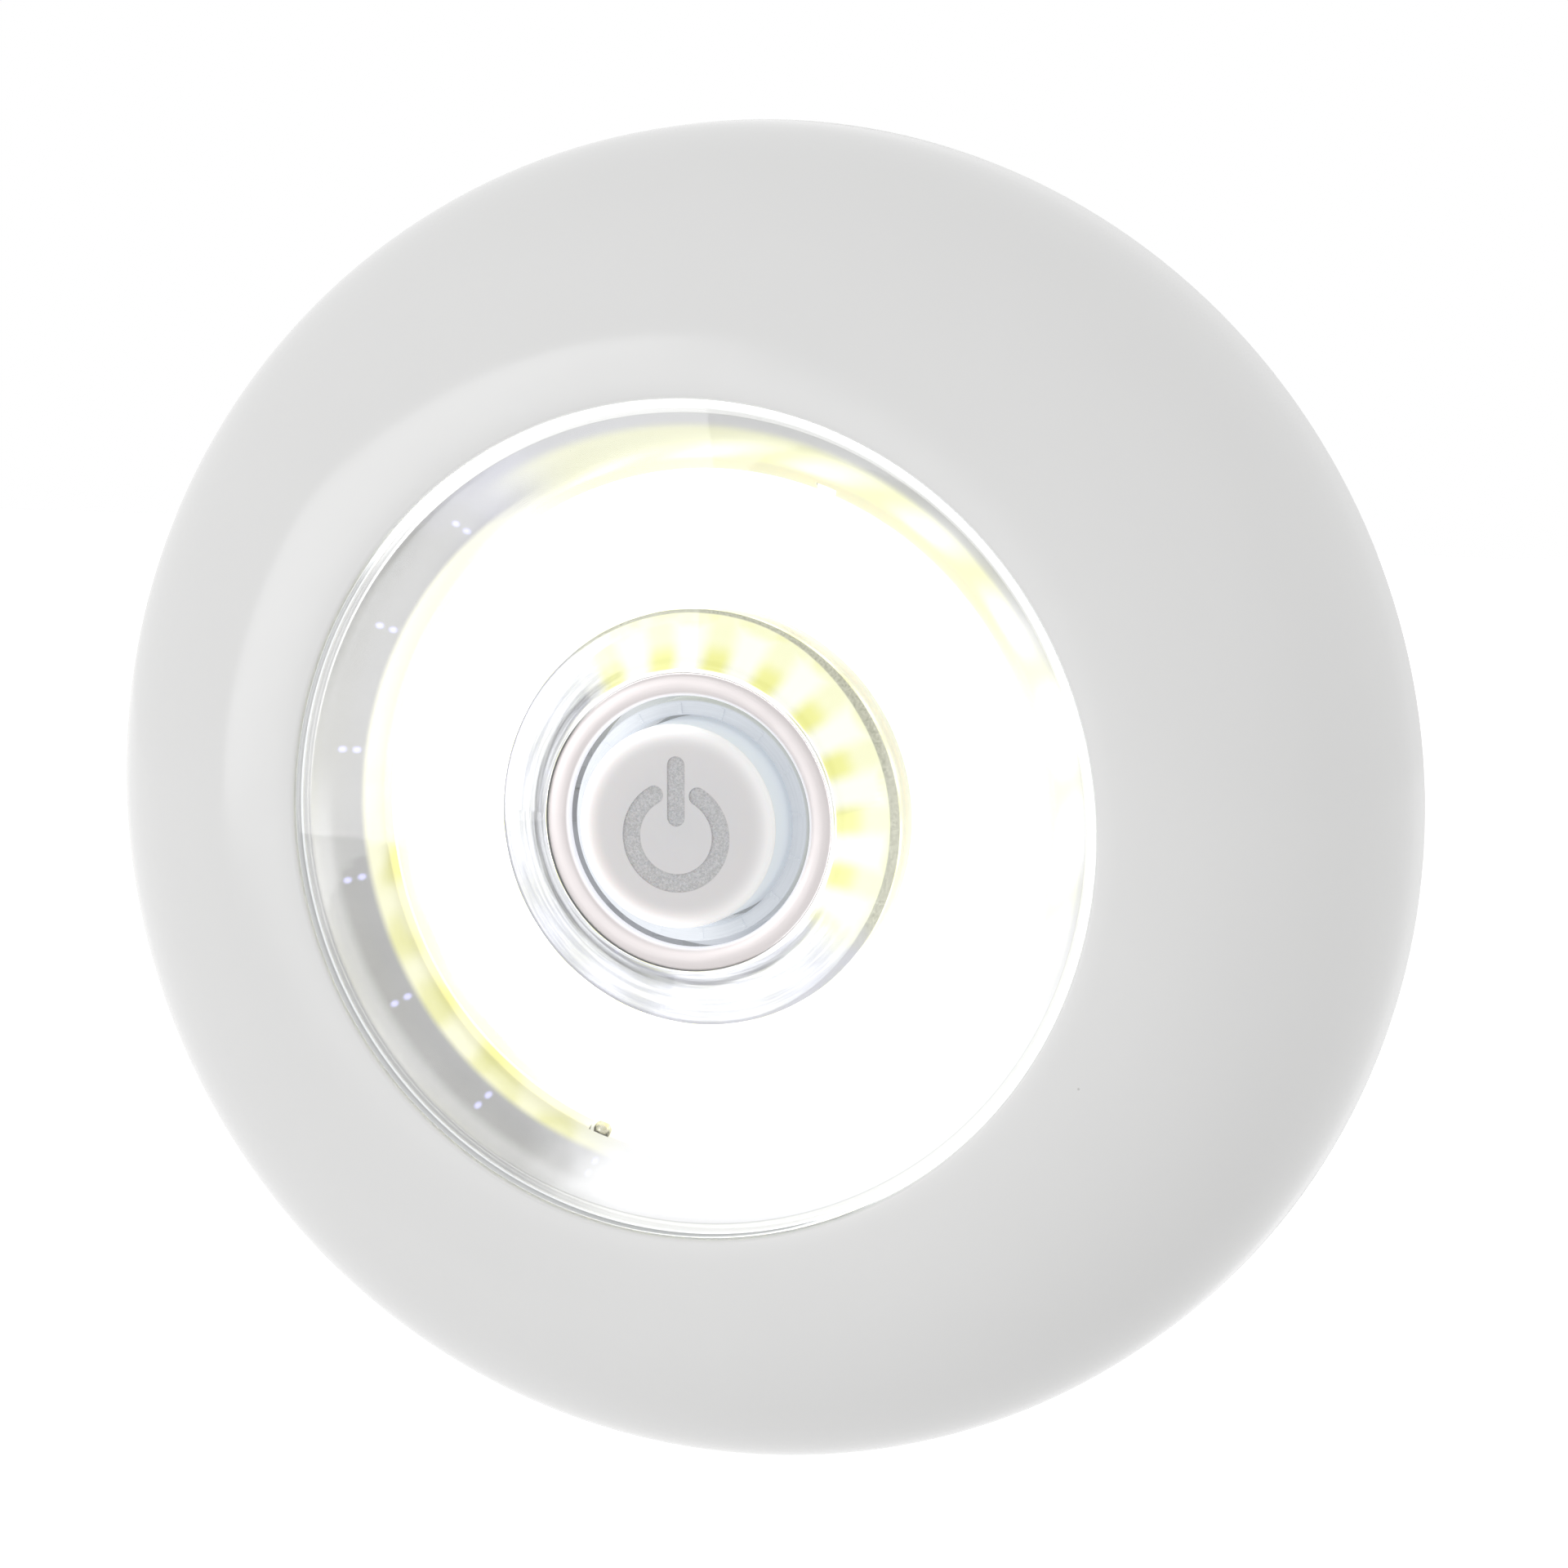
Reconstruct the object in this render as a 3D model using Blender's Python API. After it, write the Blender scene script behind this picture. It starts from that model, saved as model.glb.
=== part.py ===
"""A round battery puck light: a domed cover, a clear lens over a chromed reflector with a ring
of light in it, a push button in the middle and a twist-off base that stays on the wall.

Every piece is drawn on the lamp's own axis, z from the wall into the room, x to the right and
y up as the lamp hangs. One parent empty turns that axis to face -Y, so the wall is y = 0.
"""
import math

import bmesh
import bpy
from mathutils import Vector

for old in list(bpy.data.objects):
    bpy.data.objects.remove(old, do_unlink=True)

# Gaps, in metres
seat_gap = 0.0003
running_gap = 0.0004
layer_gap = 0.0001
cut_overrun = 0.001
join_depth = 0.0005
merge_distance = 0.000001

# Cover
cover_wall = 0.0020
cover_band_height = 0.0024
cover_lip_width = 0.0024
cover_lip_round = 0.0003

# Wall base and its bayonet
base_plate_thickness = 0.0020
base_edge_height = 0.0029
base_edge_width = 0.0024
base_setback = 0.0012
skirt_wall = 0.0014
bayonet_count = 3
bayonet_reach = 0.0025
bayonet_thickness = 0.0012
bayonet_turn = math.radians(90)
lug_half_angle = math.radians(9)
lug_side_gap = 0.0009
hook_height = 0.0023
stop_width = 0.0020
stop_gap = 0.0006
stop_rise = 0.0010

# Keyholes and sticky pads in the wall base
keyhole_offset = 0.0260
keyhole_head_radius = 0.0040
keyhole_slot_radius = 0.0021
keyhole_slot_length = 0.0065
pad_length = 0.0340
pad_width = 0.0110
pad_depth = 0.0010
pad_offset = 0.0200
pad_corner = 0.0020

# Cells
cell_count = 3
cell_radius = 0.00525
cell_length = 0.0445
cell_nub_radius = 0.0019
cell_nub_length = 0.0010
cell_edge_round = 0.0005
cell_side_gap = 0.0005
cell_floor_gap = 0.0003

# Cell contacts
contact_thickness = 0.0004
contact_height = 0.0086
contact_width = 0.0086
contact_corner = 0.0008
spring_room = 0.0044
spring_wire_radius = 0.00025
spring_plate_radius = 0.0036
spring_tip_radius = 0.0026
spring_turns = 3

# Chassis
web_thickness = 0.0008
tray_wall = 0.0014
tray_corner = 0.0007
tray_side_gap = 0.0004
tray_floor_gap = 0.0010
tray_side_room = 0.00426
web_margin = 0.0010
rib_length = 0.0100
rib_width = 0.0010
rib_drop = 0.0020
rib_corner = 0.00025
ear_height = 0.0100
ear_thickness = 0.0012
ear_radius = 0.0034

# Posts under the dome and the chassis screws
post_side_gap = 0.00035
post_angle = math.radians(35)
post_radius = 0.0026
post_hole_radius = 0.0011
post_hole_depth = 0.0050
screw_shank_radius = 0.0008
screw_head_radius = 0.0019
screw_head_height = 0.0014
screw_crown_share = 0.6
screw_grip = 0.0042
screw_slot_width = 0.0006
screw_slot_depth = 0.0005
screw_slot_corner = 0.00015

# Light ring
hub_base_radius = 0.0131
led_board_thickness = 0.0008
led_board_inset = 0.0005
led_board_margin = 0.0015
phosphor_width = 0.0064
phosphor_height = 0.0007
inner_dam_width = 0.0005
outer_dam_width = 0.00075
dam_height = 0.0008
bare_strip = 0.00075
pad_joint_angle = math.radians(250)
pad_joint_radius = 0.0006
pad_joint_height = 0.0005

# Reflector and its hub
reflector_depth = 0.0041
reflector_flare = 0.0034
reflector_curve_share = 0.9
reflector_rim = 0.00015
reflector_flange = 0.0020
reflector_flange_thickness = 0.0008
reflector_foot = 0.0009
hub_top_width = 0.0014
hub_top_drop = 0.0001
hub_shoulder_height = 0.0028
hub_wall = 0.0006
hub_skin_drop = 0.0005

# Lens
lens_thickness = 0.0009
lens_margin = 0.0006
lens_side_gap = 0.00025
lens_flange_width = 0.0014
lens_flange_rise = 0.0001
lens_flange_drop = 0.0006
lens_edge_round = 0.0002

# Button, its guide and its switch
button_radius = 0.0062
button_proud = 0.0022
button_wall = 0.0010
button_crown = 0.0012
button_edge_round = 0.0005
button_travel = 0.0015
button_side_gap = 0.0004
guide_wall = 0.0006
guide_drop = 0.0006
guide_foot_width = 0.0012
guide_foot_height = 0.0006
switch_board_thickness = 0.0008
switch_side = 0.0064
switch_height = 0.0030
switch_corner = 0.0006
plunger_side = 0.0024
plunger_corner = 0.0003
plunger_entry = 0.0003
plunger_socket_wall = 0.0008
plunger_socket_depth = 0.0016
return_wire_radius = 0.00015
return_turns = 3
symbol_depth = 0.00015
symbol_stroke = 0.0010
symbol_radius = 0.0029
symbol_drop = 0.0006
symbol_gap_half = math.radians(29)
symbol_bar_low = 0.0006
symbol_bar_high = 0.0038
resistor_length = 0.0020
resistor_width = 0.00125
resistor_height = 0.0005
resistor_corner = 0.00015

# Pins that hold the switch board
board_pin_circle_share = 0.86
board_pin_radius = 0.0007
board_pin_gap = 0.0002

# Leads
lead_radius = 0.00045
lead_lane_step = 0.0007
lead_hole_gap = 0.0003
lead_drop = 0.0012
lead_bend = 0.0018
lead_climb = 0.0054
lead_point_spacing = 0.00225

# Facets, steps along curves, and the angle past which an edge stays sharp
cover_facets = 64
ring_facets = 48
hub_facets = 36
cell_facets = 20
screw_facets = 12
dome_steps = 7
hub_steps = 5
corner_steps = 3
spring_points_a_turn = 9
return_points_a_turn = 10
smooth_limit = math.radians(40)

# Heights from the wall, worked out upwards from the base plate
cell_height = base_plate_thickness + cell_floor_gap + cell_radius
web_bottom = cell_height + cell_radius + seat_gap
web_top = web_bottom + web_thickness
boards_bottom = web_top + seat_gap
led_board_top = boards_bottom + led_board_thickness
switch_board_top = boards_bottom + switch_board_thickness
reflector_bottom = led_board_top + seat_gap
reflector_top = reflector_bottom + reflector_depth
lens_bottom = reflector_top + seat_gap
lens_top = lens_bottom + lens_thickness
cover_rim = base_edge_height + seat_gap
cover_shoulder = cover_rim + cover_band_height
button_top = lens_top + button_proud

# Radii, worked out outwards from the button
guide_bore = button_radius + button_side_gap
guide_outer = guide_bore + guide_wall
hub_bore = guide_outer + running_gap
hub_top_outer = hub_bore + hub_top_width
lens_bore = hub_top_outer + lens_side_gap
led_board_bore = hub_base_radius - led_board_inset
switch_board_radius = led_board_bore - running_gap
inner_dam_inner = hub_base_radius + 2 * layer_gap
phosphor_inner = inner_dam_inner + inner_dam_width + layer_gap
phosphor_outer = phosphor_inner + phosphor_width
outer_dam_inner = phosphor_outer + layer_gap
outer_dam_outer = outer_dam_inner + outer_dam_width
reflector_inner = outer_dam_outer + bare_strip
reflector_mouth = reflector_inner + reflector_flare
led_board_radius = reflector_inner + led_board_margin
lens_edge_radius = reflector_mouth + lens_margin
lens_opening = lens_edge_radius + lens_side_gap
lens_flange_radius = lens_edge_radius + lens_flange_width
lens_seat_radius = lens_flange_radius + lens_side_gap
cover_lip_outer = lens_opening + cover_lip_width
post_circle = lens_seat_radius + post_side_gap + post_radius

# Cell bay
cell_pitch = 2 * cell_radius + cell_side_gap
tray_half_width = (cell_count - 1) / 2 * cell_pitch + cell_radius + tray_side_gap
contact_gap = seat_gap + contact_thickness
cell_reach = cell_length + spring_room + seat_gap * 3
tray_half_length = cell_reach / 2 + contact_gap
tray_bottom = base_plate_thickness + tray_floor_gap
valley_x = cell_pitch / 2

# Wall base and cover, worked out outwards from the cell bay's corners
skirt_inner = math.hypot(tray_half_width, tray_half_length) + tray_wall + tray_side_room
skirt_outer = skirt_inner + skirt_wall
hook_inner = skirt_outer + running_gap
cover_inner = hook_inner + bayonet_reach
cover_radius = cover_inner + cover_wall
lug_outer = cover_inner - lug_side_gap
hook_bottom = cover_rim + hook_height
hook_top = hook_bottom + bayonet_thickness
lug_bottom = hook_top + seat_gap
lug_top = lug_bottom + bayonet_thickness

# Materials

MATERIALS = {}


def material(name, colour, roughness, metallic=0.0, transmission=0.0, glow=0.0):
    """One Principled material, made once for each name."""
    if name in MATERIALS:
        return MATERIALS[name]
    made = bpy.data.materials.new(name)
    made.use_nodes = True
    shader = made.node_tree.nodes["Principled BSDF"]
    shader.inputs["Base Color"].default_value = (*colour, 1.0)
    shader.inputs["Roughness"].default_value = roughness
    shader.inputs["Metallic"].default_value = metallic
    shader.inputs["Transmission Weight"].default_value = transmission
    shader.inputs["Emission Color"].default_value = (*colour, 1.0)
    shader.inputs["Emission Strength"].default_value = glow
    made.diffuse_color = (*colour, 1.0)
    MATERIALS[name] = made
    return made


def white_gloss():
    return material("white_gloss", (0.86, 0.86, 0.85), 0.12)


def white_matt():
    return material("white_matt", (0.78, 0.78, 0.76), 0.45)


def clear_plastic():
    return material("clear_plastic", (0.95, 0.97, 1.0), 0.03, transmission=1.0)


def chromed_plastic():
    return material("chromed_plastic", (0.80, 0.79, 0.77), 0.08, metallic=1.0)


def nickel_steel():
    return material("nickel_steel", (0.72, 0.70, 0.66), 0.25, metallic=1.0)


def zinc_screw():
    return material("zinc_screw", (0.62, 0.62, 0.60), 0.35, metallic=1.0)


def foam():
    return material("foam", (0.82, 0.82, 0.80), 0.9)


def cell_wrap():
    return material("cell_wrap", (0.12, 0.22, 0.16), 0.3)


def board_white():
    return material("board_white", (0.88, 0.88, 0.84), 0.4)


def board_green():
    return material("board_green", (0.05, 0.22, 0.12), 0.4)


def phosphor_yellow():
    return material("phosphor_yellow", (0.95, 0.90, 0.45), 0.5, glow=1.0)


def silicone():
    return material("silicone", (0.84, 0.87, 0.80), 0.4)


def solder():
    return material("solder", (0.66, 0.66, 0.62), 0.3, metallic=1.0)


def black_plastic():
    return material("black_plastic", (0.03, 0.03, 0.03), 0.4)


def lead_red():
    return material("lead_red", (0.55, 0.04, 0.03), 0.4)


def lead_black():
    return material("lead_black", (0.02, 0.02, 0.02), 0.4)


# Parents: one for the body that stays on the wall, one for the lamp and one for its button


def empty(name, parent=None):
    made = bpy.data.objects.new(name, None)
    bpy.context.scene.collection.objects.link(made)
    made.parent = parent
    return made


lamp_axis = empty("lamp_axis")
lamp_axis.rotation_euler = (math.pi / 2, 0, 0)
wall_side = empty("wall_side", lamp_axis)
room_side = empty("room_side", lamp_axis)
button_side = empty("button_side", lamp_axis)


# Shape helpers


def place(name, mesh, finish, parent):
    """Puts a mesh in the scene as one named piece on its parent."""
    for polygon in mesh.polygons:
        polygon.use_smooth = True
    mesh.set_sharp_from_angle(angle=smooth_limit)
    mesh.materials.append(finish)
    made = bpy.data.objects.new(name, mesh)
    bpy.context.scene.collection.objects.link(made)
    made.parent = parent
    return made


def helper(name, mesh, parent):
    """A cutter or an added lump: it shapes another piece and isn't one itself."""
    made = bpy.data.objects.new(name, mesh)
    bpy.context.scene.collection.objects.link(made)
    made.parent = parent
    made.hide_render = True
    made.display_type = "WIRE"
    return made


def mesh_of(name, bm):
    bmesh.ops.recalc_face_normals(bm, faces=bm.faces)
    mesh = bpy.data.meshes.new(name)
    bm.to_mesh(mesh)
    bm.free()
    return mesh


def turned(name, outline, facets, closed=True):
    """Spins an outline of (radius, height) points about z. An open outline ends on the axis."""
    bm = bmesh.new()
    points = [bm.verts.new((radius, 0, height)) for radius, height in outline]
    pairs = list(zip(points, points[1:]))
    if closed:
        pairs.append((points[-1], points[0]))
    edges = [bm.edges.new(pair) for pair in pairs]
    bmesh.ops.spin(
        bm,
        geom=points + edges,
        cent=(0, 0, 0),
        axis=(0, 0, 1),
        angle=math.tau,
        steps=facets,
        use_merge=True,
    )
    bmesh.ops.remove_doubles(bm, verts=bm.verts, dist=merge_distance)
    return mesh_of(name, bm)


def extruded(name, outline, bottom, top):
    """A prism from a flat outline of (x, y) points."""
    bm = bmesh.new()
    face = bm.faces.new([bm.verts.new((x, y, bottom)) for x, y in outline])
    grown = bmesh.ops.extrude_face_region(bm, geom=[face])
    raised = [part for part in grown["geom"] if isinstance(part, bmesh.types.BMVert)]
    bmesh.ops.translate(bm, verts=raised, vec=(0, 0, top - bottom))
    return mesh_of(name, bm)


def arc(centre, radius, start, end, steps):
    """Points along an arc, both ends included."""
    turns = [start + (end - start) * step / steps for step in range(steps + 1)]
    return [(centre[0] + radius * math.cos(a), centre[1] + radius * math.sin(a)) for a in turns]


def rounded_box(half_x, half_y, corner, centre=(0, 0)):
    """The outline of a rectangle with round corners."""
    signs = ((1, 1), (-1, 1), (-1, -1), (1, -1))
    outline = []
    for quarter, (sign_x, sign_y) in enumerate(signs):
        middle = (centre[0] + sign_x * (half_x - corner), centre[1] + sign_y * (half_y - corner))
        start = quarter * math.pi / 2
        outline += arc(middle, corner, start, start + math.pi / 2, corner_steps)
    return outline


def disc_outline(radius, facets, centre=(0, 0)):
    return arc(centre, radius, 0, math.tau * (facets - 1) / facets, facets - 1)


def sector(inner, outer, start, end):
    """The outline of a piece of a ring between two angles."""
    outside = arc((0, 0), outer, start, end, corner_steps * 2)
    inside = arc((0, 0), inner, end, start, corner_steps * 2)
    return outside + inside


def shaped(target, tool, operation):
    """Adds a Boolean to a piece: DIFFERENCE cuts the tool away, UNION joins it on."""
    step = target.modifiers.new(tool.name, "BOOLEAN")
    step.operation = operation
    step.solver = "EXACT"
    step.object = tool


def cut(target, name, mesh):
    shaped(target, helper(name, mesh, target.parent), "DIFFERENCE")


def join(target, name, mesh):
    shaped(target, helper(name, mesh, target.parent), "UNION")


def tube(name, route, radius, finish, parent, roundness=2):
    """A round wire along a route, with filled ends."""
    curve = bpy.data.curves.new(name, "CURVE")
    curve.dimensions = "3D"
    curve.bevel_depth = radius
    curve.bevel_resolution = roundness
    curve.use_fill_caps = True
    spline = curve.splines.new("POLY")
    spline.points.add(len(route) - 1)
    for point, position in zip(spline.points, route):
        point.co = (*position, 1)
    curve.materials.append(finish)
    made = bpy.data.objects.new(name, curve)
    bpy.context.scene.collection.objects.link(made)
    made.parent = parent
    return made


def smooth_route(stops, spacing):
    """Reads points at even spacing from a smooth curve through the stops."""
    stops = [Vector(stop) for stop in stops]
    padded = [2 * stops[0] - stops[1], *stops, 2 * stops[-1] - stops[-2]]
    route = []
    for before, start, end, after in zip(padded, padded[1:], padded[2:], padded[3:]):
        steps = max(2, math.ceil((end - start).length / spacing))
        for step in range(steps):
            t = step / steps
            slope = (end - before) * t
            bend = (2 * before - 5 * start + 4 * end - after) * t**2
            twist = (3 * start - before - 3 * end + after) * t**3
            route.append(start + (slope + bend + twist) / 2)
    route.append(stops[-1])
    return route


def coil(start_radius, end_radius, length, wire, turns, points_a_turn):
    """A coil spring along +z whose ends run straight for one wire diameter."""
    lead_in = 2 * wire
    rise = length - 2 * lead_in
    count = turns * points_a_turn
    route = [Vector((start_radius, 0, 0))]
    for step in range(count + 1):
        share = step / count
        angle = math.tau * turns * share
        radius = start_radius + (end_radius - start_radius) * share
        height = lead_in + rise * share
        route.append(Vector((radius * math.cos(angle), radius * math.sin(angle), height)))
    route.append(Vector((end_radius, 0, length)))
    return route


def least_gap(route, wire, points_a_turn):
    """The smallest space between two turns of a coil, wire to wire."""
    apart = points_a_turn // 2
    return min(
        (route[i] - route[j]).length - 2 * wire
        for i in range(len(route))
        for j in range(i + apart, len(route))
    )


# Wall base


def keyhole(side):
    """Cutter for one keyhole: a round hole for the screw's head and a slot above it."""
    x = side * keyhole_offset
    low = -keyhole_slot_length / 2
    high = keyhole_slot_length / 2
    half = math.asin(keyhole_slot_radius / keyhole_head_radius)
    start = math.pi / 2 + half
    head = arc((x, low), keyhole_head_radius, start, start + math.tau - 2 * half, 4 * corner_steps)
    slot = arc((x, high), keyhole_slot_radius, 0, math.pi, 2 * corner_steps)
    return extruded("keyhole", head + slot, -cut_overrun, base_plate_thickness + cut_overrun)


def pad_outline(side, shrink):
    return rounded_box(
        pad_length / 2 - shrink,
        pad_width / 2 - shrink,
        pad_corner,
        (0, side * pad_offset),
    )


def bayonet_angles():
    return [bayonet_turn + math.tau * turn / bayonet_count for turn in range(bayonet_count)]


def make_back_cover():
    plate_radius = cover_radius - base_setback
    edge_inner = plate_radius - base_edge_width
    outline = [
        (0, 0),
        (plate_radius, 0),
        (plate_radius, base_edge_height),
        (edge_inner, base_edge_height),
        (edge_inner, base_plate_thickness),
        (skirt_outer, base_plate_thickness),
        (skirt_outer, lug_top),
        (skirt_inner, lug_top),
        (skirt_inner, base_plate_thickness),
        (0, base_plate_thickness),
    ]
    plate = turned("back_cover", outline, cover_facets, closed=False)
    base = place("back_cover", plate, white_matt(), wall_side)
    for number, middle in enumerate(bayonet_angles(), 1):
        lug = sector(
            skirt_outer - join_depth,
            lug_outer,
            middle - lug_half_angle,
            middle + lug_half_angle,
        )
        join(base, f"lug_{number}", extruded("lug", lug, lug_bottom, lug_top))
    for side, word in ((-1, "left"), (1, "right")):
        cut(base, f"keyhole_{word}", keyhole(side))
    for side, word in ((1, "upper"), (-1, "lower")):
        pocket = extruded("pocket", pad_outline(side, 0), -cut_overrun, pad_depth)
        cut(base, f"pad_pocket_{word}", pocket)


def make_sticky_pads():
    for side, word in ((1, "upper"), (-1, "lower")):
        pad = extruded("pad", pad_outline(side, seat_gap), 0, pad_depth - seat_gap)
        place(f"adhesive_pad_{word}", pad, foam(), wall_side)


# Cover


def post_centres():
    quarters = (post_angle, math.pi - post_angle, math.pi + post_angle, -post_angle)
    return [(post_circle * math.cos(a), post_circle * math.sin(a)) for a in quarters]


def cover_outline():
    """The dome's section: outside from the lip down to the rim, then inside back up."""
    outer_width = cover_radius - cover_lip_outer
    outer_rise = lens_top - cover_shoulder
    inner_width = cover_inner - cover_lip_outer
    inner_rise = outer_rise - cover_wall
    quarter = math.pi / 2
    outside = []
    inside = []
    for step in range(dome_steps + 1):
        angle = quarter * (1 - step / dome_steps)
        across = math.cos(angle)
        up = math.sin(angle)
        outside.append((cover_lip_outer + outer_width * across, cover_shoulder + outer_rise * up))
        inside.append((cover_lip_outer + inner_width * across, cover_shoulder + inner_rise * up))
    lip_under = lens_bottom + lens_flange_rise + seat_gap
    lip = [
        (lens_opening, lens_top - cover_lip_round),
        (lens_opening + cover_lip_round, lens_top),
    ]
    rim = [
        (cover_radius, cover_rim + cover_lip_round),
        (cover_radius - cover_lip_round, cover_rim),
        (cover_inner, cover_rim),
    ]
    seat = [
        (lens_seat_radius, cover_shoulder + inner_rise),
        (lens_seat_radius, lip_under),
        (lens_opening, lip_under),
    ]
    return lip + outside + rim + inside[::-1] + seat


def make_cover():
    cover = place("housing", turned("housing", cover_outline(), cover_facets), white_gloss(), room_side)
    post_bottom = ear_height + ear_thickness + seat_gap
    post_top = lens_top - cover_wall + join_depth / 2
    hole_top = post_bottom + post_hole_depth
    for number, centre in enumerate(post_centres(), 1):
        post = disc_outline(post_radius, 2 * screw_facets, centre)
        hole = disc_outline(post_hole_radius, screw_facets, centre)
        join(cover, f"post_{number}", extruded("post", post, post_bottom, post_top))
        cut(cover, f"post_hole_{number}", extruded("hole", hole, post_bottom - cut_overrun, hole_top))
    hook_outer = cover_inner + join_depth
    for number, middle in enumerate(bayonet_angles(), 1):
        start = middle - lug_half_angle
        stop_start = middle + lug_half_angle + stop_gap / hook_inner
        stop_end = stop_start + stop_width / hook_inner
        hook = sector(hook_inner, hook_outer, start, stop_end)
        stop = sector(hook_inner, hook_outer, stop_start, stop_end)
        join(cover, f"hook_{number}", extruded("hook", hook, hook_bottom, hook_top))
        stop_top = lug_top + stop_rise
        join(cover, f"stop_{number}", extruded("stop", stop, hook_bottom + join_depth, stop_top))


# Lens


def make_lens():
    plate_top = lens_top
    outline = [
        (lens_bore, lens_bottom),
        (lens_bore, plate_top - lens_edge_round),
        (lens_bore + lens_edge_round, plate_top),
        (lens_edge_radius - lens_edge_round, plate_top),
        (lens_edge_radius, plate_top - lens_edge_round),
        (lens_edge_radius, lens_bottom + lens_flange_rise),
        (lens_flange_radius, lens_bottom + lens_flange_rise),
        (lens_flange_radius, lens_bottom - lens_flange_drop),
        (lens_edge_radius - lens_edge_round, lens_bottom - lens_flange_drop),
        (lens_edge_radius - lens_edge_round, lens_bottom),
    ]
    place("lens", turned("lens", outline, ring_facets), clear_plastic(), room_side)


# Reflector, hub and light ring


def reflector_wall():
    """The bright cone's inside, from the light ring up to the lens, steepest at its foot."""
    points = []
    for step in range(corner_steps * 2 + 1):
        share = step / (corner_steps * 2)
        radius = reflector_inner + reflector_flare * share
        points.append((radius, reflector_bottom + reflector_depth * share**reflector_curve_share))
    return points


def joint_centres():
    """The light board's two solder joints, half under the reflector's lower edge."""
    circle = outer_dam_outer + layer_gap + pad_joint_radius
    angles = (pad_joint_angle, pad_joint_angle + math.pi)
    return [(circle * math.cos(a), circle * math.sin(a)) for a in angles]


def make_reflector():
    flange_top = lens_bottom - lens_flange_drop - seat_gap
    flange_bottom = flange_top - reflector_flange_thickness
    rim = reflector_mouth + reflector_rim
    outline = reflector_wall() + [
        (rim, reflector_top),
        (rim, flange_top),
        (rim + reflector_flange, flange_top),
        (rim + reflector_flange, flange_bottom),
        (reflector_mouth - reflector_rim, flange_bottom),
        (reflector_inner + reflector_foot, reflector_bottom),
    ]
    cup = place("reflector", turned("reflector", outline, ring_facets), chromed_plastic(), room_side)
    notch_top = led_board_top + layer_gap + pad_joint_height + seat_gap
    for number, centre in enumerate(joint_centres(), 1):
        notch = disc_outline(pad_joint_radius + seat_gap, screw_facets, centre)
        low = reflector_bottom - cut_overrun
        cut(cup, f"joint_notch_{number}", extruded("notch", notch, low, notch_top))


def make_hub():
    """The chromed collar round the button: a low wall, a hollow flare and a rounded top."""
    shoulder = reflector_bottom + hub_shoulder_height
    crown = lens_top - hub_top_drop - hub_top_width / 2
    flare_width = hub_base_radius - hub_top_outer
    flare_rise = crown - shoulder
    flare = []
    for step in range(hub_steps + 1):
        angle = math.pi / 2 * step / hub_steps
        radius = hub_base_radius - flare_width * math.sin(angle)
        flare.append((radius, crown - flare_rise * math.cos(angle)))
    middle = (hub_bore + hub_top_width / 2, crown)
    top = arc(middle, hub_top_width / 2, 0, math.pi, 2 * corner_steps)
    under_width = hub_base_radius - hub_bore - 2 * hub_wall
    ceiling = shoulder - hub_wall
    under_rise = crown - hub_skin_drop - ceiling
    under = [(hub_bore, crown - hub_skin_drop)]
    for step in range(hub_steps + 1):
        angle = math.pi / 2 * (1 - step / hub_steps)
        radius = hub_base_radius - hub_wall - under_width * math.sin(angle)
        under.append((radius, ceiling + under_rise * (1 - math.cos(angle))))
    foot = [(hub_base_radius - hub_wall, reflector_bottom), (hub_base_radius, reflector_bottom)]
    outline = foot + flare[:-1] + top + under
    place("reflector_hub", turned("reflector_hub", outline, hub_facets), chromed_plastic(), room_side)


def ring(name, inner, outer, bottom, top, finish, crown=0.0):
    """A flat ring, with its top edges taken off by crown."""
    outline = [(inner, bottom), (outer, bottom)]
    if crown:
        outline += [(outer, top - crown), (outer - crown, top)]
        outline += [(inner + crown, top), (inner, top - crown)]
    else:
        outline += [(outer, top), (inner, top)]
    return place(name, turned(name, outline, ring_facets), finish, room_side)


def make_light_ring():
    layer = led_board_top + layer_gap
    dam_top = layer + dam_height
    ring("led_board", led_board_bore, led_board_radius, boards_bottom, led_board_top, board_white())
    ring(
        "phosphor_ring",
        phosphor_inner,
        phosphor_outer,
        layer,
        layer + phosphor_height,
        phosphor_yellow(),
        layer_gap,
    )
    inner_outer = inner_dam_inner + inner_dam_width
    ring("inner_dam", inner_dam_inner, inner_outer, layer, dam_top, silicone())
    ring("outer_dam", outer_dam_inner, outer_dam_outer, layer, dam_top, silicone())


def make_solder_joints():
    low = led_board_top + layer_gap
    outline = [(0, low), (pad_joint_radius, low)]
    for step in range(1, corner_steps):
        turn = math.pi / 2 * step / corner_steps
        outline.append((pad_joint_radius * math.cos(turn), low + pad_joint_height * math.sin(turn)))
    outline.append((0, low + pad_joint_height))
    for number, centre in enumerate(joint_centres(), 1):
        name = f"solder_joint_{number}"
        joint = place(name, turned(name, outline, screw_facets, closed=False), solder(), room_side)
        joint.location = (*centre, 0)


# Chassis with its cell bay


def ear_outline(centre):
    """An ear round one post, carried back to the tray's wall."""
    direction = 1 if centre[0] > 0 else -1
    root = direction * (tray_half_width + tray_wall / 2)
    turn = math.pi / 2 if direction < 0 else -math.pi / 2
    nose = arc(centre, ear_radius, turn, turn + math.pi, 2 * corner_steps)
    return nose + [(root, nose[-1][1]), (root, nose[0][1])]


def board_pin_centres():
    """The switch board's two pins stand over the valleys between the cells."""
    circle = switch_board_radius * board_pin_circle_share
    across = math.sqrt(circle * circle - valley_x * valley_x)
    return [(valley_x, -across), (-valley_x, across)]


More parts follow.
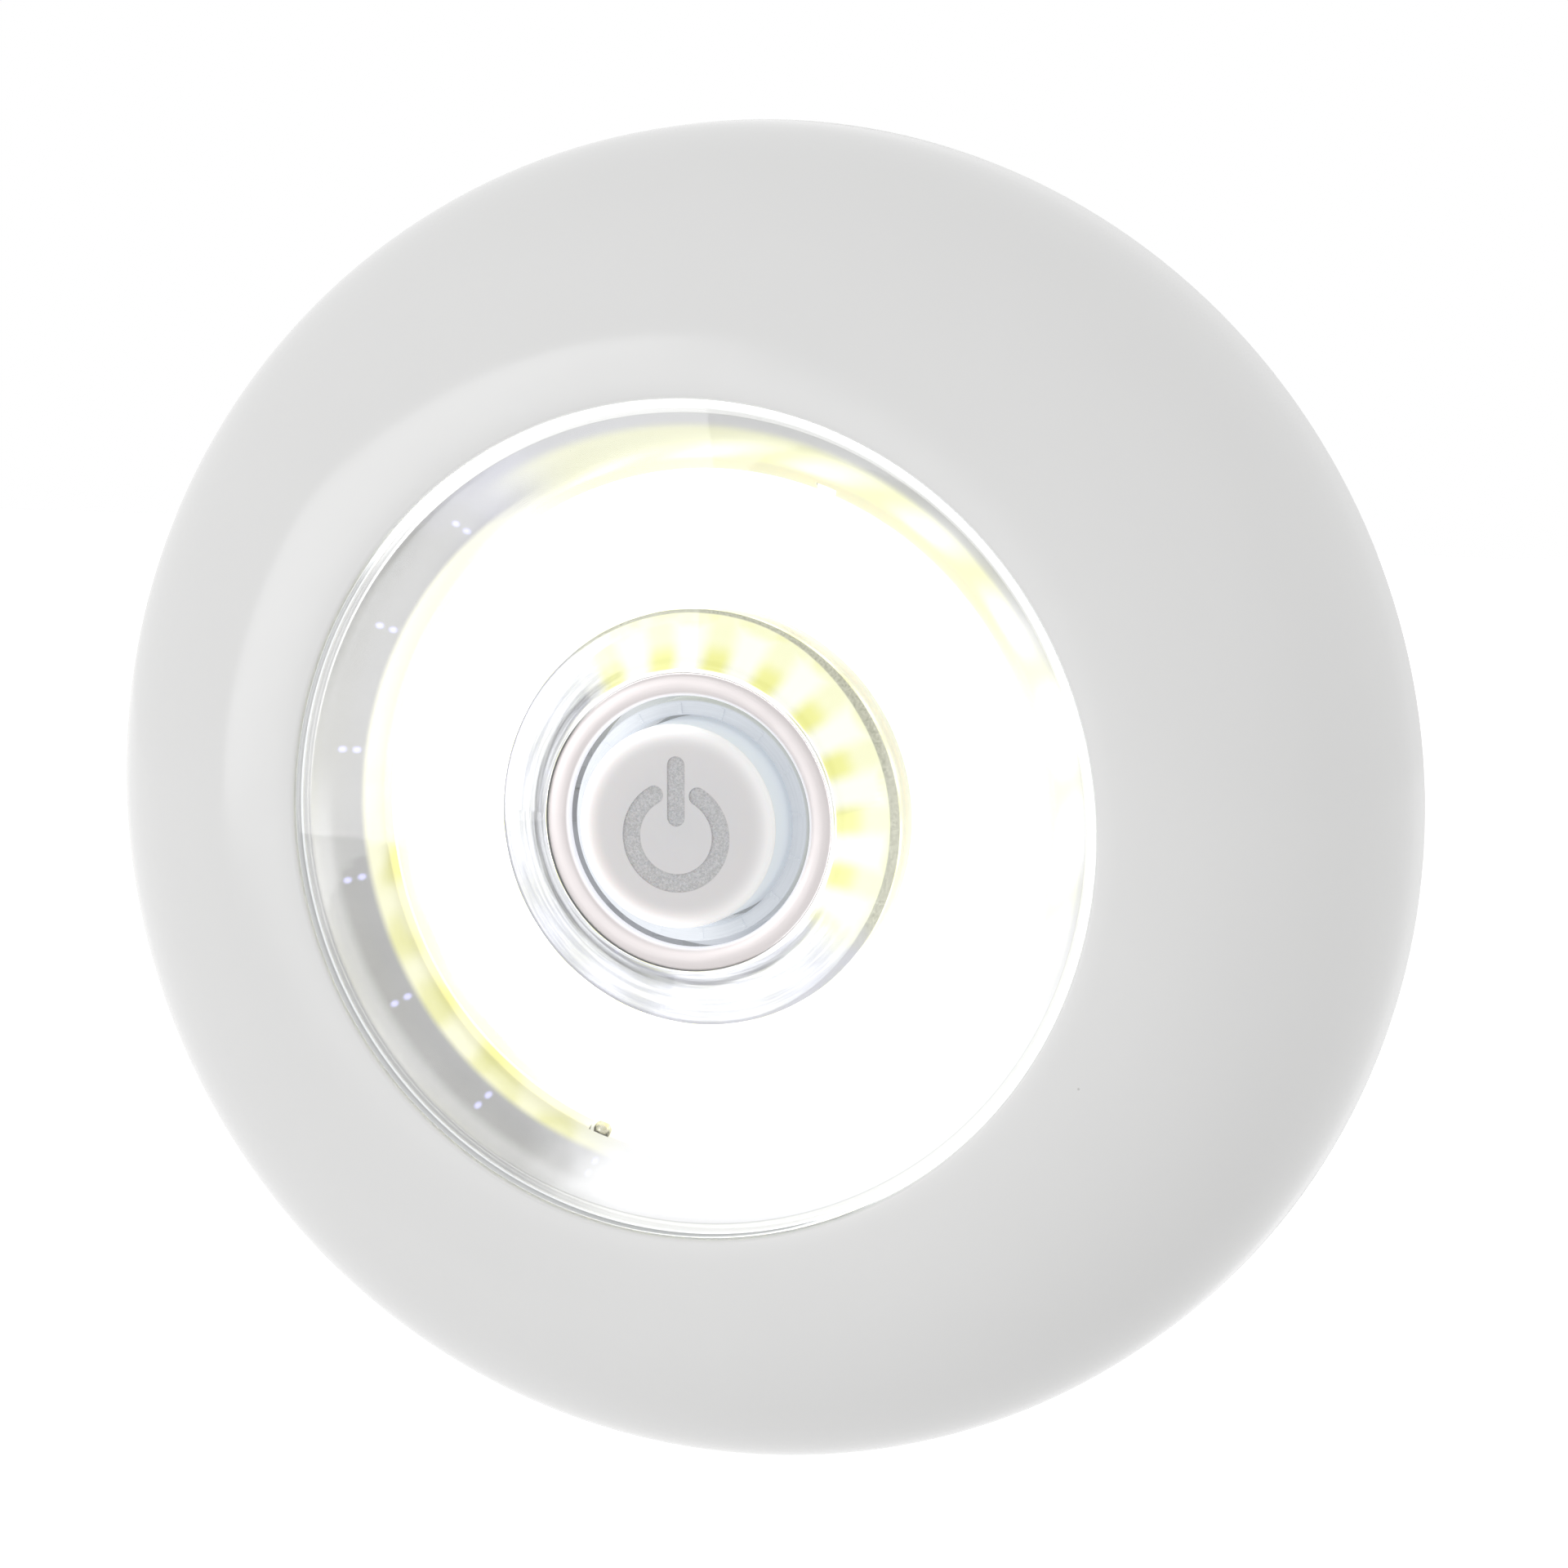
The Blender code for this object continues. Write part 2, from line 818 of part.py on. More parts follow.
def lead_holes():
    """Each hole in the web with its radius: both leads come up at one, one goes down at the other."""
    circle = switch_board_radius * board_pin_circle_share
    across = math.sqrt(circle * circle - valley_x * valley_x)
    rim = led_board_radius + lead_radius + lead_hole_gap
    rim_x = valley_x - lead_lane_step
    edge = math.sqrt(rim * rim - rim_x * rim_x)
    inner = lead_lane_step + lead_radius + lead_hole_gap
    outer = lead_radius + lead_hole_gap
    return [((valley_x, across), inner), ((rim_x, edge), outer)]


def lead_lane(way):
    """Cutter for the lane of one light lead: it also opens the tray's end where that is in the way."""
    (_, inner_y), _ = lead_holes()[0]
    (rim_x, rim_y), half = lead_holes()[1]
    outline = rounded_box(
        half,
        (rim_y - inner_y) / 2 + half,
        lead_radius,
        (way * rim_x, way * (rim_y + inner_y) / 2),
    )
    middle = web_bottom - lead_drop
    return extruded("lane", outline, middle - half, middle + half)


def make_chassis():
    outer_x = tray_half_width + tray_wall
    outer_y = tray_half_length + tray_wall
    body = extruded("chassis", rounded_box(outer_x, outer_y, tray_wall), tray_bottom, web_top)
    chassis = place("chassis", body, white_matt(), room_side)
    web = disc_outline(led_board_radius + web_margin, ring_facets)
    join(chassis, "web_disc", extruded("web", web, web_bottom, web_top))
    for number, centre in enumerate(post_centres(), 1):
        ear = extruded("ear", ear_outline(centre), ear_height, ear_height + ear_thickness)
        join(chassis, f"ear_{number}", ear)
    bay = rounded_box(tray_half_width, tray_half_length, tray_corner)
    cut(chassis, "cell_bay", extruded("bay", bay, tray_bottom - cut_overrun, web_bottom))
    for number, centre in enumerate(board_pin_centres(), 1):
        pin = disc_outline(board_pin_radius, screw_facets, centre)
        join(chassis, f"board_pin_{number}", extruded("pin", pin, web_top - join_depth, switch_board_top))
    rib = rounded_box(rib_width / 2, rib_length / 2, rib_corner)
    for number, x in enumerate((-valley_x, valley_x), 1):
        moved = [(x + px, py) for px, py in rib]
        lump = extruded("rib", moved, web_bottom - rib_drop, web_top - join_depth)
        join(chassis, f"cell_rib_{number}", lump)
    for number, ((x, y), radius) in enumerate(lead_holes(), 1):
        for way, word in ((1, "upper"), (-1, "lower")):
            hole = disc_outline(radius, screw_facets, (way * x, way * y))
            through = extruded("hole", hole, web_bottom - cut_overrun, web_top + cut_overrun)
            cut(chassis, f"lead_hole_{word}_{number}", through)
    for way, word in ((1, "upper"), (-1, "lower")):
        cut(chassis, f"lead_lane_{word}", lead_lane(way))
    for number, centre in enumerate(post_centres(), 1):
        hole = disc_outline(post_hole_radius, screw_facets, centre)
        low = ear_height - cut_overrun
        through = extruded("hole", hole, low, ear_height + ear_thickness + cut_overrun)
        cut(chassis, f"ear_hole_{number}", through)


# Cells and contacts


def bay_columns():
    """Each cell's x and the way its nub points, which alternates along the row."""
    first = (cell_count - 1) / 2
    return [((number - first) * cell_pitch, 1 if number % 2 == 0 else -1) for number in range(cell_count)]


def make_cells():
    """Cells stand nub up along y, turn about, with their springs behind them."""
    body_length = cell_length - cell_nub_length
    body_radius = cell_radius
    outline = [
        (0, 0),
        (body_radius - cell_edge_round, 0),
        (body_radius, cell_edge_round),
        (body_radius, body_length - cell_edge_round),
        (body_radius - cell_edge_round, body_length),
        (cell_nub_radius, body_length),
        (cell_nub_radius, cell_length),
        (0, cell_length),
    ]
    nub_end = tray_half_length - contact_gap - seat_gap
    for number, (x, way) in enumerate(bay_columns(), 1):
        name = f"cell_{number}"
        cell = place(name, turned(name, outline, cell_facets, closed=False), cell_wrap(), room_side)
        cell.location = (x, way * (nub_end - cell_length), cell_height)
        cell.rotation_euler = (-way * math.pi / 2, 0, 0)


def contact_plate(name, columns, way):
    """A sheet contact against one end wall, behind one cell or joining two."""
    low = min(columns) - contact_width / 2
    high = max(columns) + contact_width / 2
    half_x = (high - low) / 2
    outline = rounded_box(half_x, contact_height / 2, contact_corner, ((low + high) / 2, 0))
    near = tray_half_length - seat_gap - contact_thickness
    plate = place(name, extruded(name, outline, near, near + contact_thickness), nickel_steel(), room_side)
    plate.location = (0, 0, cell_height)
    plate.rotation_euler = (-math.pi / 2 * way, 0, 0)


def make_contacts():
    """The row of cells in series: one plate at each end of it and a link at each turn."""
    columns = [x for x, _ in bay_columns()]
    contact_plate("positive_plate", [columns[-1]], 1)
    contact_plate("upper_link", columns[:-1], 1)
    contact_plate("lower_link", columns[1:], -1)
    contact_plate("negative_plate", [columns[0]], -1)
    length = spring_room
    route = coil(
        spring_plate_radius,
        spring_tip_radius,
        length,
        spring_wire_radius,
        spring_turns,
        spring_points_a_turn,
    )
    gap = least_gap(route, spring_wire_radius, spring_points_a_turn)
    print(f"cell spring least gap to itself {gap * 1000:.2f} mm")
    start = tray_half_length - contact_gap - seat_gap
    for number, (x, way) in enumerate(bay_columns(), 1):
        spring = tube(f"cell_spring_{number}", route, spring_wire_radius, nickel_steel(), room_side, 1)
        spring.location = (x, -way * start, cell_height)
        spring.rotation_euler = (-way * math.pi / 2, 0, 0)


# Switch, button and its spring


def make_switch():
    board = turned(
        "switch_board",
        [
            (0, boards_bottom),
            (switch_board_radius, boards_bottom),
            (switch_board_radius, switch_board_top),
            (0, switch_board_top),
        ],
        hub_facets,
        closed=False,
    )
    panel = place("switch_board", board, board_green(), room_side)
    for number, centre in enumerate(board_pin_centres(), 1):
        hole = disc_outline(board_pin_radius + board_pin_gap, screw_facets, centre)
        low = boards_bottom - cut_overrun
        cut(panel, f"panel_hole_{number}", extruded("hole", hole, low, switch_board_top + cut_overrun))
    low = switch_board_top + seat_gap
    high = low + switch_height
    outline = rounded_box(switch_side / 2, switch_side / 2, switch_corner)
    switch = place("switch_body", extruded("switch", outline, low, high), black_plastic(), room_side)
    half = plunger_side / 2 + seat_gap
    well = rounded_box(half, half, plunger_corner)
    well_floor = high - plunger_entry - button_travel - seat_gap
    cut(switch, "plunger_well", extruded("well", well, well_floor, high + cut_overrun))


def make_resistor():
    low = switch_board_top + layer_gap
    circle = guide_foot_outer() + running_gap + resistor_width / 2
    outline = rounded_box(
        resistor_width / 2,
        resistor_length / 2,
        resistor_corner,
        (-circle, 0),
    )
    place(
        "resistor",
        extruded("resistor", outline, low, low + resistor_height),
        black_plastic(),
        room_side,
    )


def guide_foot_outer():
    return guide_outer + guide_foot_width


def make_button_guide():
    """The clear sleeve that the button slides in, standing on the switch board."""
    low = switch_board_top + layer_gap
    outline = [
        (guide_bore, low),
        (guide_foot_outer(), low),
        (guide_foot_outer(), low + guide_foot_height),
        (guide_outer, low + guide_foot_height),
        (guide_outer, lens_top - guide_drop),
        (guide_bore, lens_top - guide_drop),
    ]
    place("button_guide", turned("button_guide", outline, hub_facets), clear_plastic(), room_side)


def power_symbol():
    """The two strokes of a plain on and off symbol: a bar, and a ring that is open round it."""
    half = symbol_stroke / 2
    centre = (0, -symbol_drop)
    start = math.pi / 2 + symbol_gap_half
    end = math.pi * 5 / 2 - symbol_gap_half
    outside = arc(centre, symbol_radius + half, start, end, 4 * hub_steps)
    inside = arc(centre, symbol_radius - half, end, start, 4 * hub_steps)
    bar = arc((0, symbol_bar_high), half, 0, math.pi, 2 * corner_steps)
    bar += arc((0, symbol_bar_low), half, math.pi, math.tau, 2 * corner_steps)
    tips = []
    for angle, way in ((end, 0), (start, math.pi)):
        tip = arc(centre, symbol_radius, angle, angle, 1)[0]
        tips.append(arc(tip, half, angle + way, angle + way + math.pi, 2 * corner_steps)[1:-1])
    return bar, outside + tips[0] + inside + tips[1]


def make_button():
    switch_top = switch_board_top + seat_gap + switch_height
    ceiling = button_top - button_crown
    skirt_low = switch_top - button_travel + seat_gap
    bore = button_radius - button_wall
    socket = plunger_side / math.sqrt(2) + seat_gap
    socket_low = ceiling - plunger_socket_depth
    outline = [
        (0, button_top),
        (button_radius - button_edge_round, button_top),
        (button_radius, button_top - button_edge_round),
        (button_radius, skirt_low),
        (bore, skirt_low),
        (bore, ceiling),
        (socket + plunger_socket_wall, ceiling),
        (socket + plunger_socket_wall, socket_low),
        (socket, socket_low),
        (socket, ceiling),
        (0, ceiling),
    ]
    cap = turned("button_cap", outline, hub_facets, closed=False)
    button = place("button_cap", cap, white_matt(), button_side)
    for word, stroke in zip(("bar", "ring"), power_symbol()):
        mark = extruded("symbol", stroke, button_top - symbol_depth, button_top + cut_overrun)
        cut(button, f"symbol_{word}", mark)
    stem_low = switch_top - plunger_entry
    stem = rounded_box(plunger_side / 2, plunger_side / 2, plunger_corner)
    plunger = extruded("plunger", stem, stem_low, ceiling - seat_gap)
    place("switch_plunger", plunger, black_plastic(), button_side)
    inner = socket + plunger_socket_wall
    mean = (inner + bore) / 2
    low = switch_top + seat_gap
    length = ceiling - seat_gap - low
    route = coil(mean, mean, length, return_wire_radius, return_turns, return_points_a_turn)
    gap = least_gap(route, return_wire_radius, return_points_a_turn)
    print(f"button spring least gap to itself {gap * 1000:.2f} mm")
    spring = tube("button_spring", route, return_wire_radius, nickel_steel(), button_side, 1)
    spring.location = (0, 0, low)


# Screws


def screw(name, shank, head, head_height, grip, centre, under_head, way):
    """A pan-head screw, its head's underside at under_head and its tip pointing way along z."""
    outline = [
        (0, -head_height),
        (head * screw_crown_share, -head_height),
        (head, -head_height / 2),
        (head, 0),
        (shank, 0),
        (shank, grip - shank),
        (0, grip),
    ]
    made = place(name, turned(name, outline, screw_facets, closed=False), zinc_screw(), room_side)
    made.location = (*centre, under_head)
    made.rotation_euler = (0 if way > 0 else math.pi, 0, 0)
    slot = rounded_box(head + cut_overrun, screw_slot_width / 2, screw_slot_corner)
    low = -head_height - cut_overrun
    tool = helper(f"{name}_slot", extruded("slot", slot, low, screw_slot_depth - head_height), room_side)
    tool.location = made.location
    tool.rotation_euler = made.rotation_euler
    shaped(made, tool, "DIFFERENCE")


def make_screws():
    for number, centre in enumerate(post_centres(), 1):
        screw(
            f"chassis_screw_{number}",
            screw_shank_radius,
            screw_head_radius,
            screw_head_height,
            screw_grip,
            centre,
            ear_height - seat_gap,
            1,
        )


# Leads


def make_leads():
    """Two leads run in the valley above the cells at each end, and come up under the board."""
    lane = web_bottom - lead_drop
    board_under = boards_bottom - seat_gap
    (inner_hole, _), (rim_hole, _) = lead_holes()
    light_x = valley_x - lead_lane_step
    supply_x = valley_x + lead_lane_step
    turn_y = inner_hole[1] + lead_bend
    end_y = tray_half_length - contact_gap - seat_gap - lead_radius
    light = [
        (light_x, rim_hole[1], led_board_top),
        (light_x, rim_hole[1], web_bottom),
        (light_x, rim_hole[1] - lead_bend, lane),
        (light_x, turn_y, lane),
        (light_x, inner_hole[1], web_bottom),
        (light_x, inner_hole[1], board_under),
    ]
    supply = [
        (cell_pitch - contact_width / 2, end_y, cell_height + contact_height / 2 - lead_radius),
        (supply_x, end_y - lead_bend, lane - lead_drop / 2),
        (supply_x, end_y - lead_climb, lane),
        (supply_x, turn_y, lane),
        (supply_x, inner_hole[1], web_bottom),
        (supply_x, inner_hole[1], board_under),
    ]
    for way, sign_name, finish in ((1, "positive", lead_red()), (-1, "negative", lead_black())):
        for kind, stops in (("light", light), ("supply", supply)):
            turned_stops = [(way * x, way * y, z) for x, y, z in stops]
            route = smooth_route(turned_stops, lead_point_spacing)
            tube(f"{kind}_lead_{sign_name}", route, lead_radius, finish, room_side)


make_back_cover()
make_sticky_pads()
make_cover()
make_lens()
make_reflector()
make_hub()
make_light_ring()
make_solder_joints()
make_chassis()
make_cells()
make_contacts()
make_switch()
make_resistor()
make_button_guide()
make_button()
make_screws()
make_leads()
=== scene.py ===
import math

import bmesh
import bpy
from mathutils import Matrix, Vector


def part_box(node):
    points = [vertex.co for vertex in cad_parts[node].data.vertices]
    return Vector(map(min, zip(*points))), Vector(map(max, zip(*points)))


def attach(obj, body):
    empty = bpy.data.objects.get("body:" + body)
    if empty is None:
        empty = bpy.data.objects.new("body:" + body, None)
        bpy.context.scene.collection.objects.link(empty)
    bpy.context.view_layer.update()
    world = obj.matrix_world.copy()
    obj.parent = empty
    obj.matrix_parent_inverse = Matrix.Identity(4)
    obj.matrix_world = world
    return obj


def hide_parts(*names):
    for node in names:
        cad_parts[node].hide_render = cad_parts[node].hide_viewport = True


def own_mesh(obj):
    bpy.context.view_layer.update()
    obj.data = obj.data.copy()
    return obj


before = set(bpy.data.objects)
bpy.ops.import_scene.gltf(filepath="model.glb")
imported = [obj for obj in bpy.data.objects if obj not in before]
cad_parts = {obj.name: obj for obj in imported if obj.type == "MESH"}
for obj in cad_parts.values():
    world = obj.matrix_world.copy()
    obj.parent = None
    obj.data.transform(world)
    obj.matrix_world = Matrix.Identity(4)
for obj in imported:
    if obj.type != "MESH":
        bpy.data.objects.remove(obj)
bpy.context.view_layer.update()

# The lamp's axis runs along Y. A depth is the distance from the wall, so y is its negative.


def numbers_in(unit):
    """A function that turns numbers of a unit into metres or radians: one, or a tuple."""

    def changed(*numbers):
        made = tuple(number * unit for number in numbers)
        return made if len(made) > 1 else made[0]

    return changed


mm = numbers_in(0.001)
degrees = numbers_in(math.pi / 180)


def radius_of(node):
    """How far from the lamp's axis a round node reaches."""
    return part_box(node)[1].x


def depths_of(node):
    """How far from the wall a node starts and ends."""
    low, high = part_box(node)
    return -high.y, -low.y


# Sizes that the pieces share, from the frame where a box gives them
cover_radius = radius_of("housing")
cover_rim, cover_top = depths_of("housing")
cover_wall = mm(2.0)
cover_shoulder = cover_rim + mm(2.4)
lip_inner = mm(26.15)
lip_outer = mm(28.55)
lens_radius = mm(26.05)
lens_flange_radius = radius_of("lens")
lens_flange_bottom, lens_top = depths_of("lens")
lens_bottom = lens_top - mm(0.9)
reflector_foot, reflector_top = depths_of("reflector")
reflector_flange_radius = radius_of("reflector")
reflector_inner = mm(21.45)
reflector_mouth = mm(25.3)
reflector_curve = 0.9
reflector_rim = reflector_mouth + mm(0.55)
hub_foot, hub_top = depths_of("reflector_hub")
hub_radius = radius_of("reflector_hub")
hub_bore = mm(7.85)
hub_top_width = mm(1.4)
hub_shoulder = hub_foot + mm(2.8)
crown_rise = mm(0.16)
lens_hole = hub_bore + hub_top_width + mm(0.06)
button_radius = radius_of("button_cap") + mm(0.12)
button_skirt, button_top = depths_of("button_cap")
guide_foot, guide_top = depths_of("button_guide")
base_radius = radius_of("back_cover")
lamp_steps = 216
small_steps = 144


# Node trees


def sum_of(operation, swapped=False):
    """A method that makes a maths node of a field and what it is combined with."""

    def combined(field, *others):
        values = (*others, field) if swapped else (field, *others)
        return field.tree.maths(operation, *values)

    return combined


class Field:
    """A number or vector that changes over a surface. In sums, | takes the larger."""

    def __init__(self, tree, socket):
        self.tree = tree
        self.socket = socket

    def __neg__(self):
        return self * -1

    __add__ = __radd__ = sum_of("ADD")
    __sub__ = sum_of("SUBTRACT")
    __rsub__ = sum_of("SUBTRACT", swapped=True)
    __mul__ = __rmul__ = sum_of("MULTIPLY")
    __truediv__ = sum_of("DIVIDE")
    __pow__ = sum_of("POWER")
    __mod__ = sum_of("FLOORED_MODULO")
    __abs__ = sum_of("ABSOLUTE")
    __lt__ = sum_of("LESS_THAN")
    __or__ = sum_of("MAXIMUM")


class Tree:
    """A node tree under construction, for a material or for geometry."""

    def __init__(self, nodes_tree):
        self.nodes_tree = nodes_tree

    def feed(self, socket, value):
        if isinstance(value, Field):
            self.nodes_tree.links.new(value.socket, socket)
        else:
            socket.default_value = value

    def node(self, kind, inputs, output=0, **settings):
        """Adds a node with these sockets fed, and gives the field that one output makes."""
        made = self.nodes_tree.nodes.new(kind)
        for name, value in settings.items():
            setattr(made, name, value)
        for name, value in inputs.items():
            self.feed(made.inputs[name], value)
        return Field(self, made.outputs[output])

    def maths(self, operation, *values):
        return self.node("ShaderNodeMath", dict(enumerate(values)), operation=operation)

    def distance(self, x, y):
        """How far a point lies from the middle."""
        return self.maths("SQRT", x * x + y * y)

    def parts(self, vector):
        """A vector's x, y and z."""
        split = self.node("ShaderNodeSeparateXYZ", {"Vector": vector})
        return [Field(self, output) for output in split.socket.node.outputs]

    def vector(self, x, y, z):
        return self.node("ShaderNodeCombineXYZ", {"X": x, "Y": y, "Z": z})

    def limited(self, value):
        return self.node("ShaderNodeClamp", {"Value": value})

    def step(self, value, start, end):
        """A smooth step from 0 at start to 1 at end."""
        inputs = {"Value": value, "From Min": start, "From Max": end}
        return self.node("ShaderNodeMapRange", inputs, interpolation_type="SMOOTHSTEP")


class Finish(Tree):
    """A material: one Principled shader, and the patterns that feed it."""

    def __init__(self, name, colour, roughness, **constants):
        self.material = bpy.data.materials.new(name)
        self.material.use_nodes = True
        super().__init__(self.material.node_tree)
        self.shader = self.nodes_tree.nodes["Principled BSDF"]
        self.colour = colour
        self.set("Base Color", (*colour, 1))
        self.set("Roughness", roughness)
        for words, value in constants.items():
            self.set(words.replace("_", " ").title().replace("Ior", "IOR"), value)
        self.place = self.node("ShaderNodeTexCoord", {}, "Object")
        self.material.diffuse_color = (*colour, 1)

    def set(self, socket, value):
        self.feed(self.shader.inputs[socket], value)

    def round_the_axis(self):
        """The distance from the lamp's axis, the angle round it and the depth."""
        x, y, z = self.parts(self.place)
        return self.distance(x, z), self.maths("ARCTAN2", z, x), -y

    def towards(self, side, blur=0.35, wander=0):
        """1 on a side: a middle direction and half its spread. Past it, 0 after the blur."""
        middle, half = side
        off = abs((self.round_the_axis()[1] - middle + math.pi) % math.tau - math.pi)
        return 1 - self.step(off + wander, half, half + blur)

    def noise(self, size, detail=3, place=None, roughness=0.5):
        """Cloudy noise between 0 and 1, its clouds about size across."""
        inputs = {"Vector": place or self.place, "Scale": 1 / size}
        inputs |= {"Detail": detail, "Roughness": roughness}
        return self.node("ShaderNodeTexNoise", inputs, "Fac")

    def specks(self, spacing, size, share):
        """Small round dots: one in each share of cells that are spacing across."""
        cells = {"Vector": self.place, "Scale": 1 / spacing}
        dots = self.node("ShaderNodeTexVoronoi", cells, "Distance")
        pick = self.node("ShaderNodeTexVoronoi", cells, "Color")
        chosen = self.parts(pick)[0] < share
        return chosen * (1 - self.step(dots, size / spacing / 2, size / spacing))

    def scratches(self, length, width, share, turn):
        """Fine straight scratches of about that length and width, running one way."""
        inputs = {"Vector": self.place, "Rotation": turn}
        inputs["Scale"] = (1 / width, 1 / width, 1 / length)
        stretched = self.node("ShaderNodeMapping", inputs)
        lines = self.noise(1, 1, stretched)
        patches = self.noise(length, 1)
        return self.step(lines, 1 - share, 1 - share * 0.8) * self.step(patches, 0.52, 0.62)

    def mix(self, share, first, second):
        """A colour between two others."""
        colours = {"A": first, "B": second}
        made = self.nodes_tree.nodes.new("ShaderNodeMix")
        made.data_type = "RGBA"
        self.feed(made.inputs["Factor"], share)
        for socket in made.inputs:
            if socket.type == "RGBA":
                colour = colours[socket.name]
                self.feed(socket, colour if isinstance(colour, Field) else (*colour, 1))
        return Field(self, [output for output in made.outputs if output.type == "RGBA"][0])

    def layered(self, colour, *layers):
        """A colour with others laid over it, each given as a share and a colour."""
        for share, other in layers:
            colour = self.mix(share, colour, other)
        return colour

    def glow(self, colour, strength):
        """Gives off light of a colour, which may change over the surface."""
        self.set("Emission Color", colour)
        self.set("Emission Strength", strength)

    def tinted(self, share, amount):
        """The finish's own colour, up to amount lighter and darker."""
        darker = tuple(channel * (1 - amount) for channel in self.colour)
        lighter = tuple(min(1, channel * (1 + amount)) for channel in self.colour)
        return self.mix(share, darker, lighter)

    def bumped(self, height, depth):
        """The finished material, its surface raised by depth where height is 1."""
        inputs = {"Height": height, "Distance": depth, "Strength": 1}
        self.set("Normal", self.node("ShaderNodeBump", inputs))
        return self.material


# Finishes


def glossy_white():
    """Polished white ABS: a little cloudy, with dust, faint scratches and moulding ripple."""
    finish = Finish("glossy_white", (0.83, 0.83, 0.825), 0.16)
    cloud = finish.noise(mm(9.0), 4)
    dust = finish.specks(mm(5.0), mm(0.11), 0.35)
    scratch = finish.scratches(mm(6.0), mm(0.12), 0.16, (0.4, 0.2, 0.5))
    plain = finish.tinted(cloud, 0.012)
    finish.set("Base Color", finish.mix(dust * 0.5, plain, (0.42, 0.41, 0.39)))
    finish.set("Roughness", 0.13 + finish.noise(mm(2.5)) * 0.06 + scratch * 0.2)
    ripple = finish.noise(mm(7.0), 1)
    return finish.bumped(ripple * 0.9 + scratch * 0.12, mm(0.012))


def clear_lens():
    """Clear acrylic with a few fine scratches and dust in it, and a painted glow along its rim and
    round its bore, strongest towards the upper right.
    """
    finish = Finish("clear_lens", (0.985, 0.99, 0.995), 0.02, transmission_weight=1, ior=1.49)
    scratch = finish.scratches(mm(5.0), mm(0.08), 0.16, (0.9, 0.1, -0.7))
    dust = finish.specks(mm(2.6), mm(0.05), 0.3)
    finish.set("Roughness", finish.limited(0.015 + scratch * 0.25 + dust * 0.4))
    # Painted light: a glow along the rim and round the bore, strongest on the lit side and at
    # least edge_glow_least all round.
    radius = finish.round_the_axis()[0]
    on_edge = finish.step(radius, lens_radius - mm(0.45), lens_radius - mm(0.15))
    lit = finish.towards(edge_glow_side, 0.6) | edge_glow_least
    at_bore = 1 - finish.step(radius, lens_hole + mm(0.1), lens_hole + mm(0.25))
    finish.glow(finish.mix((on_edge | at_bore) * lit, dark, (0.96, 0.98, 1)), 0.8)
    return finish.bumped(finish.noise(mm(6.0), 1), mm(0.004))


